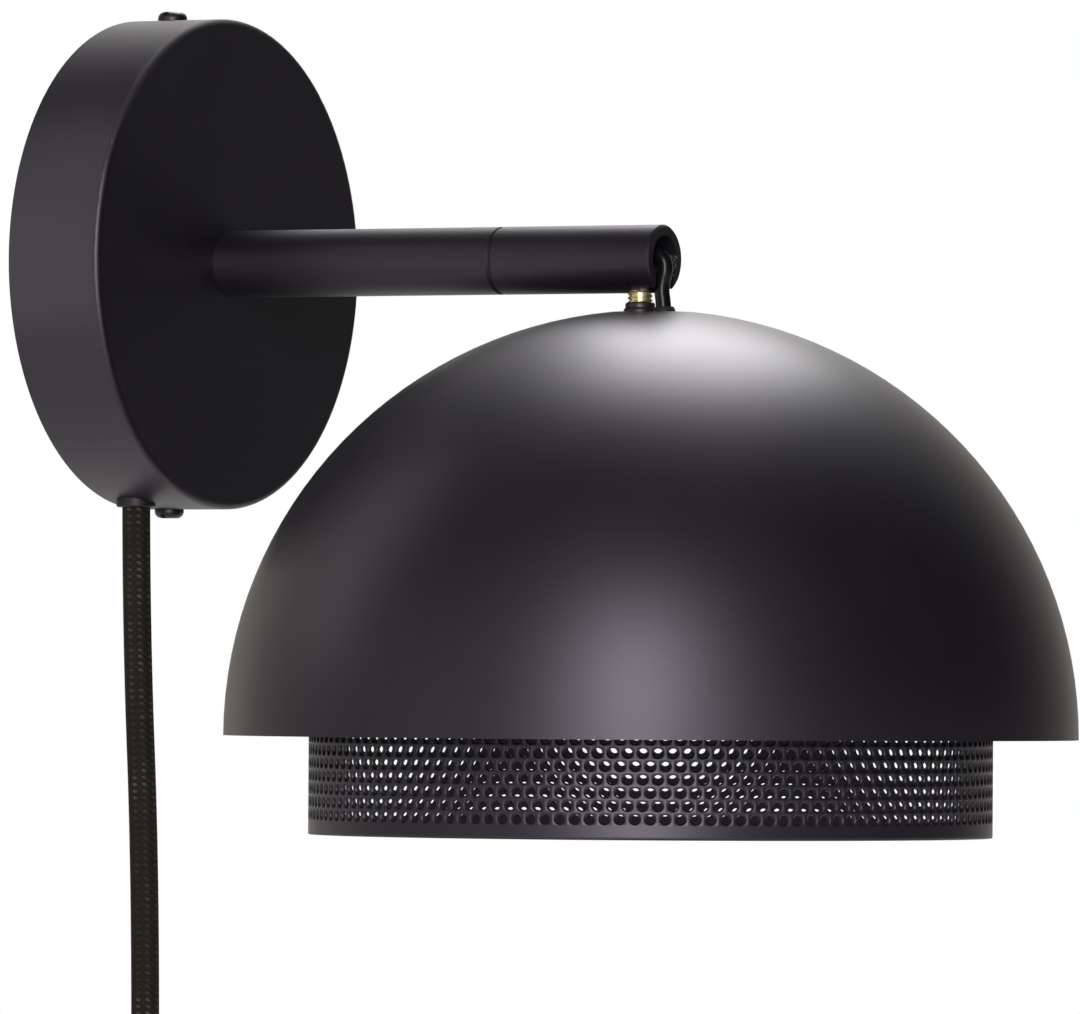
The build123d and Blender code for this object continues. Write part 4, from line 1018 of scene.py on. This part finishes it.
# %% Finishes for the CAD parts
slot_finish = {
    "black_paint": black_paint,
    "black_steel": black_steel,
    "zinc_steel": zinc_steel,
    "brass": brass,
    "nickel_pins": nickel_pins,
    "black_plastic": black_plastic,
    "white_plastic": white_plastic,
    "black_rubber": black_rubber,
    "cable_sheath": cable_sheath,
    "wire_insulation": brown_wire,
    "cord_braid": cord_braid,
}
own_finish = {"arm_end": arm_paint, "canopy": canopy_paint}
for subpart in frame["record"]["subparts"]:
    node = frame["nodes"][subpart["node"]]
    finish = own_finish.get(subpart["node"], slot_finish[subpart["material_slot"]])
    node.data.materials.clear()
    node.data.materials.append(finish.material)

# %% [markdown]
# The lamp hangs over a pale floor that takes its shadow. A plain disc would do, but its edge would show as
# a line. So this one fades towards its edge into a white that only the camera sees, and it meets the
# white surround without a seam.

# %% Floor
FLOOR_Z = -0.412
FLOOR_RADIUS = 2.2
FLOOR_SIDES = 90
FADE_START = 0.45
FADE_END = 1.7
FLOOR_CLOUD_SCALE = 3.0
FLOOR_DARK = shade(0.80, 0.785, 0.765)
FLOOR_LIGHT = shade(0.84, 0.825, 0.805)

floor_finish = Finish("pale_floor", roughness=0.8)
place = floor_finish.place()
cloud = floor_finish.noise(place, FLOOR_CLOUD_SCALE)
floor_finish.set(base_color=floor_finish.mixed(cloud, FLOOR_DARK, FLOOR_LIGHT))
east, north, _ = floor_finish.parts(place)
camera_sees = floor_finish.take("Is Camera Ray", "ShaderNodeLightPath")
fade = floor_finish.ramp(floor_finish.span(east, north), FADE_START, FADE_END) * camera_sees
glow = floor_finish.take("Emission", "ShaderNodeEmission", {}, {"Color": WHITE, "Strength": 1.0})
floor_surface = floor_finish.blended(fade, floor_finish.painted, glow)
floor_finish.feed(floor_finish.output.inputs["Surface"], floor_surface)

floor_ring = []
for k in range(FLOOR_SIDES):
    angle = math.radians(360 * k / FLOOR_SIDES)
    floor_ring.append((FLOOR_RADIUS * math.cos(angle), FLOOR_RADIUS * math.sin(angle), FLOOR_Z))
floor = add_piece("studio_floor", floor_ring, [tuple(range(FLOOR_SIDES))], floor_finish.material)
print("floor at", FLOOR_Z, "m")

# %% [markdown]
# A white surround could light the lamp from all sides, but that would wash out its black. So the surround
# answers each kind of ray in its own way: white to the camera, a dim even light to what is rough, and to
# what is glossy a bright backdrop behind the lamp and a softer wall on its left, both a little warm.

# %% Surround
AMBIENT = 0.30
MIRROR_DIM = 0.02
MIRROR_WARM = shade(1.0, 0.95, 0.86)
BACKDROP_EDGE = 0.45
WALL_LEVEL = 0.40
WALL_TURN = math.radians(118)
WALL_EDGES = (0.55, 0.95)

world = bpy.data.worlds.new("studio")
scene.world = world
world.use_nodes = True
surround = Bench(world.node_tree)
rays = surround.node("ShaderNodeLightPath")
seen = Signal(surround, rays.outputs["Is Camera Ray"])
through = Signal(surround, rays.outputs["Is Transmission Ray"])
mirrored = Signal(surround, rays.outputs["Is Glossy Ray"])
facing = surround.take("Generated", "ShaderNodeTexCoord")


def toward(axis):
    """How far a ray points along an axis, from -1 to 1."""
    vectors = {0: facing, 1: tuple(axis)}
    return surround.take("Value", "ShaderNodeVectorMath", {"operation": "DOT_PRODUCT"}, vectors)


def background(colour, level):
    return surround.take("Background", "ShaderNodeBackground", {}, {"Color": colour, "Strength": level})


near_backdrop = surround.ramp(toward(-view_back), BACKDROP_EDGE, 1.0, kind="LINEAR")
wall_axis = math.cos(WALL_TURN) * view_back - math.sin(WALL_TURN) * view_right
left_wall = surround.ramp(toward(wall_axis), *WALL_EDGES, end=WALL_LEVEL)
glossy = background(MIRROR_WARM, MIRROR_DIM + near_backdrop * near_backdrop + left_wall)
plain = background(WHITE, AMBIENT + (1 - AMBIENT) * surround.maths("MINIMUM", seen + through, 1.0))
surround.node("ShaderNodeOutputWorld", {}, {"Surface": surround.blended(mirrored, plain, glossy)})
print("surround of", len(world.node_tree.nodes), "nodes")

# %% [markdown]
# The light that falls on the lamp comes from soft panels, as in a studio: a tall one by the camera, one
# above and behind for the top of the dome, and a faint one at the left. A small card close to the canopy
# draws the light band on its side wall. Spot lights would leave hard dots on satin paint, and panels
# leave long soft gleams.

# %% Panels
SHADE_MIDDLE = Vector((0, -0.12, -0.06))
CANOPY_SIDE = Vector((-0.055, -0.0125, 0.01))
WHITE_LIGHT = (1.0, 1.0, 1.0)
WARM_LIGHT = (1.0, 0.95, 0.93)


def soft_panel(name, target, side, distance, size, watts, tint=WHITE_LIGHT):
    """A light that faces a target. Its side is given as the camera sees it: right, up and back."""
    data = bpy.data.lights.new(name, "AREA")
    data.shape = "RECTANGLE"
    data.size, data.size_y = size
    data.energy = watts
    data.color = tint
    right, up, back = side
    direction = (right * view_right + up * view_up + back * view_back).normalized()
    panel = bpy.data.objects.new(name, data)
    panel.location = target + direction * distance
    panel.rotation_euler = direction.to_track_quat("Z", "Y").to_euler()
    panel.visible_camera = False
    scene.collection.objects.link(panel)
    print(name, "at", short(panel.location), "with", watts, "watts")


soft_panel(
    "front_panel", SHADE_MIDDLE, side=(-0.07, 0.17, 0.98),
    distance=2.2, size=(0.75, 1.65), watts=59.0,
)
soft_panel(
    "top_panel", SHADE_MIDDLE, side=(0.10, 0.81, -0.58),
    distance=1.6, size=(0.65, 1.05), watts=25.5,
)
soft_panel(
    "left_panel", SHADE_MIDDLE, side=(-0.85, 0.12, 0.50),
    distance=1.2, size=(0.5, 0.8), watts=0.8, tint=WARM_LIGHT,
)
soft_panel(
    "canopy_card", CANOPY_SIDE, side=(-0.866, 0.32, 0.38),
    distance=0.078, size=(0.07, 0.20), watts=0.052,
)
